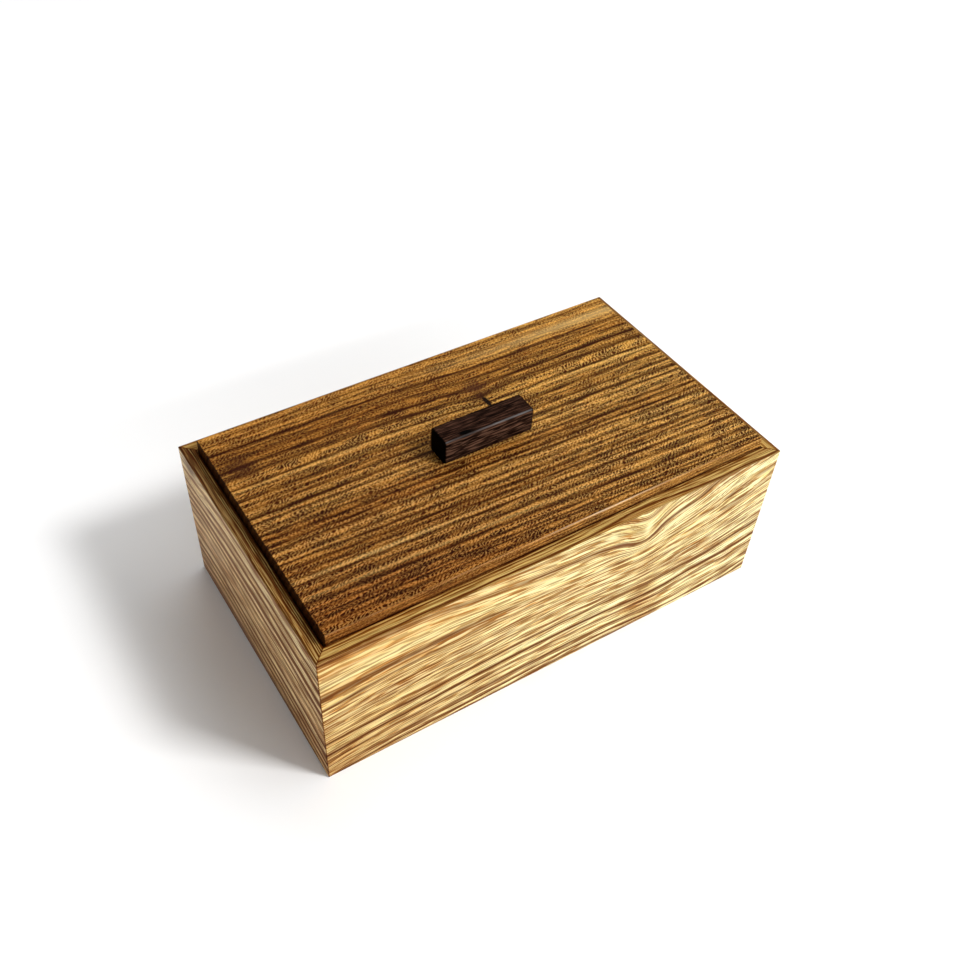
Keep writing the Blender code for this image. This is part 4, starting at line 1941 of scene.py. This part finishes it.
@dataclass
class HiddenWood:
    """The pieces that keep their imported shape: the base panel and the tongues in the mitres."""

    def dress(self) -> None:
        """Give the base and the tongues their finish."""
        finish = PanelFinish().dress("pale_sheet_wood")
        names = ["base_panel"]
        names += [f"{front}_{side}_tongue" for front in ("front", "back") for side in ("left", "right")]
        for name in names:
            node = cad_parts[name]
            node.data.materials.clear()
            node.data.materials.append(finish)
            LOG.info("%s: keeps its shape, %s", name, finish.name)


@dataclass(frozen=True)
class Lamp:
    """A soft lamp that faces the box.

    Attributes:
        name: Its name.
        azimuth: Its direction round the box, 0 being straight in front and more to the right.
        elevation: Its height as an angle.
        size: Its width and height.
        level: How bright a small lamp there would make a white sheet that faces it.
    """

    name: str
    azimuth: float
    elevation: float
    size: tuple[float, float]
    level: float


@dataclass
class Studio:
    """The floor, the lamps, the world and the camera.

    Attributes:
        floor_reach: Half the floor's width.
        floor_colour: The floor's own colour.
        floor_lift: The light that only the camera and reflections see on the floor.
        sky: Colour of the soft light from all round.
        sky_level: Its brightness.
        lamps: The lamps.
        lamp_distance: How far they stand from the box.
        camera_azimuth: The camera's direction round the box.
        camera_elevation: Its height as an angle.
        camera_roll: Its turn about its own axis.
        camera_distance: How far it stands from what it looks at.
        camera_aim: What it looks at.
        camera_lens: Its focal length in millimetres.
        camera_shift: Its shift.
        camera_near: How close to it things are still drawn.
    """

    floor_reach: float = 5.0
    floor_colour: Colour = (0.97, 0.97, 0.97)
    floor_lift: float = 0.02
    sky: Colour = (1.0, 0.97, 0.94)
    sky_level: float = 0.02
    lamps: tuple[Lamp, ...] = (
        Lamp("key_lamp", math.radians(41.7), math.radians(45.6), (1.26, 1.26), 0.70),
        Lamp("front_window", math.radians(-2.8), math.radians(32.8), (14.1, 0.48), 0.75),
        Lamp("side_window", math.radians(106.7), math.radians(57.8), (10.6, 3.2), 0.73),
    )
    lamp_distance: float = 6.0
    camera_azimuth: float = math.radians(-33.64)
    camera_elevation: float = math.radians(46.42)
    camera_roll: float = math.radians(2.60)
    camera_distance: float = 0.5048
    camera_aim: Point = (-0.0051, 0.0057, 0.0351)
    camera_lens: float = 39.19
    camera_shift: tuple[float, float] = (0.0277, 0.0252)
    camera_near: float = 0.01

    def build(self) -> None:
        """Set up everything round the box."""
        self._lay_floor()
        self._light_world()
        for lamp in self.lamps:
            self._add_lamp(lamp)
        self._set_camera()
        bpy.context.scene.view_settings.view_transform = "Standard"
    @staticmethod
    def _direction(azimuth: float, elevation: float) -> Vector:
        """Return the direction towards a place round the box, azimuth 0 being straight in front."""
        level = math.cos(elevation)
        return Vector((math.sin(azimuth) * level, -math.cos(azimuth) * level, math.sin(elevation)))

    @staticmethod
    def _facing(back: Vector) -> Matrix:
        """Return the upright turn of a lamp or camera that has a direction behind it."""
        across = UPRIGHT.cross(back).normalized()
        return Matrix((across, back.cross(across), back)).transposed()

    @staticmethod
    def _seen_straight(tree: ShaderTree) -> Signal:
        """Return 1 for camera, glossy and transmission rays."""
        path = tree.add("ShaderNodeLightPath").outputs
        seen = Signal(tree, path["Is Camera Ray"]).most(Signal(tree, path["Is Glossy Ray"]))
        return seen.most(Signal(tree, path["Is Transmission Ray"]))

    def _lay_floor(self) -> None:
        """Add the plain floor."""
        bpy.ops.object.select_all(action="DESELECT")
        bpy.ops.mesh.primitive_plane_add(size=2 * self.floor_reach)
        floor = bpy.context.object
        floor.name = "floor"
        tree = ShaderTree.of_material("floor_paint")
        paint = tree.add("ShaderNodeBsdfDiffuse", {}, {"Color": self.floor_colour})
        lift = tree.add("ShaderNodeEmission", {}, {"Strength": self._seen_straight(tree) * self.floor_lift})
        both = tree.add("ShaderNodeAddShader", {}, {0: paint.outputs[0], 1: lift.outputs[0]})
        floor.data.materials.append(tree.finish(both))

    def _light_world(self) -> None:
        """Light the box softly from all round, and show white to the camera."""
        world = bpy.data.worlds.new("studio")
        bpy.context.scene.world = world
        tree = ShaderTree(world)
        soft = tree.add("ShaderNodeBackground", {}, {"Color": self.sky, "Strength": self.sky_level})
        white = tree.add("ShaderNodeBackground", {}, {"Color": WHITE, "Strength": 1.0})
        sockets = {0: self._seen_straight(tree), 1: soft.outputs[0], 2: white.outputs[0]}
        tree.finish(tree.add("ShaderNodeMixShader", {}, sockets), "ShaderNodeOutputWorld")

    def _add_lamp(self, lamp: Lamp) -> None:
        """Add a lamp that faces the box.

        Args:
            lamp: The lamp.
        """
        light = bpy.data.lights.new(lamp.name, "AREA")
        light.shape = "RECTANGLE"
        light.size, light.size_y = lamp.size
        light.energy = math.pi ** 2 * self.lamp_distance ** 2 * lamp.level
        obj = bpy.data.objects.new(lamp.name, light)
        bpy.context.scene.collection.objects.link(obj)
        direction = self._direction(lamp.azimuth, lamp.elevation)
        obj.location = direction * self.lamp_distance
        obj.rotation_euler = self._facing(direction).to_euler()

    def _set_camera(self) -> None:
        """Place the camera at the photograph's view."""
        data = bpy.data.cameras.new("camera")
        data.lens = self.camera_lens
        data.shift_x, data.shift_y = self.camera_shift
        data.clip_start = self.camera_near
        camera = bpy.data.objects.new("camera", data)
        bpy.context.scene.collection.objects.link(camera)
        back = self._direction(self.camera_azimuth, self.camera_elevation)
        turn = self._facing(back) @ Matrix.Rotation(self.camera_roll, 3, "Z")
        place = Vector(self.camera_aim) + back * self.camera_distance
        camera.matrix_world = Matrix.Translation(place) @ turn.to_4x4()
        bpy.context.scene.camera = camera


def corners(box: tuple[Vector, Vector]) -> list[list[float]]:
    """Return a box's two corners as plain lists."""
    return [list(corner) for corner in box]


def main() -> None:
    """Build the box from its walls to its handle, then the studio round it."""
    logging.basicConfig(level=logging.INFO, format="%(name)s %(message)s")
    WallFrame().build()
    HiddenWood().dress()
    FeltLining().build()
    screws = HandleScrews()
    LidPanel().build(screws)
    HandleBar().build(screws)
    screws.build()
    Studio().build()


if __name__ == "__main__":
    main()
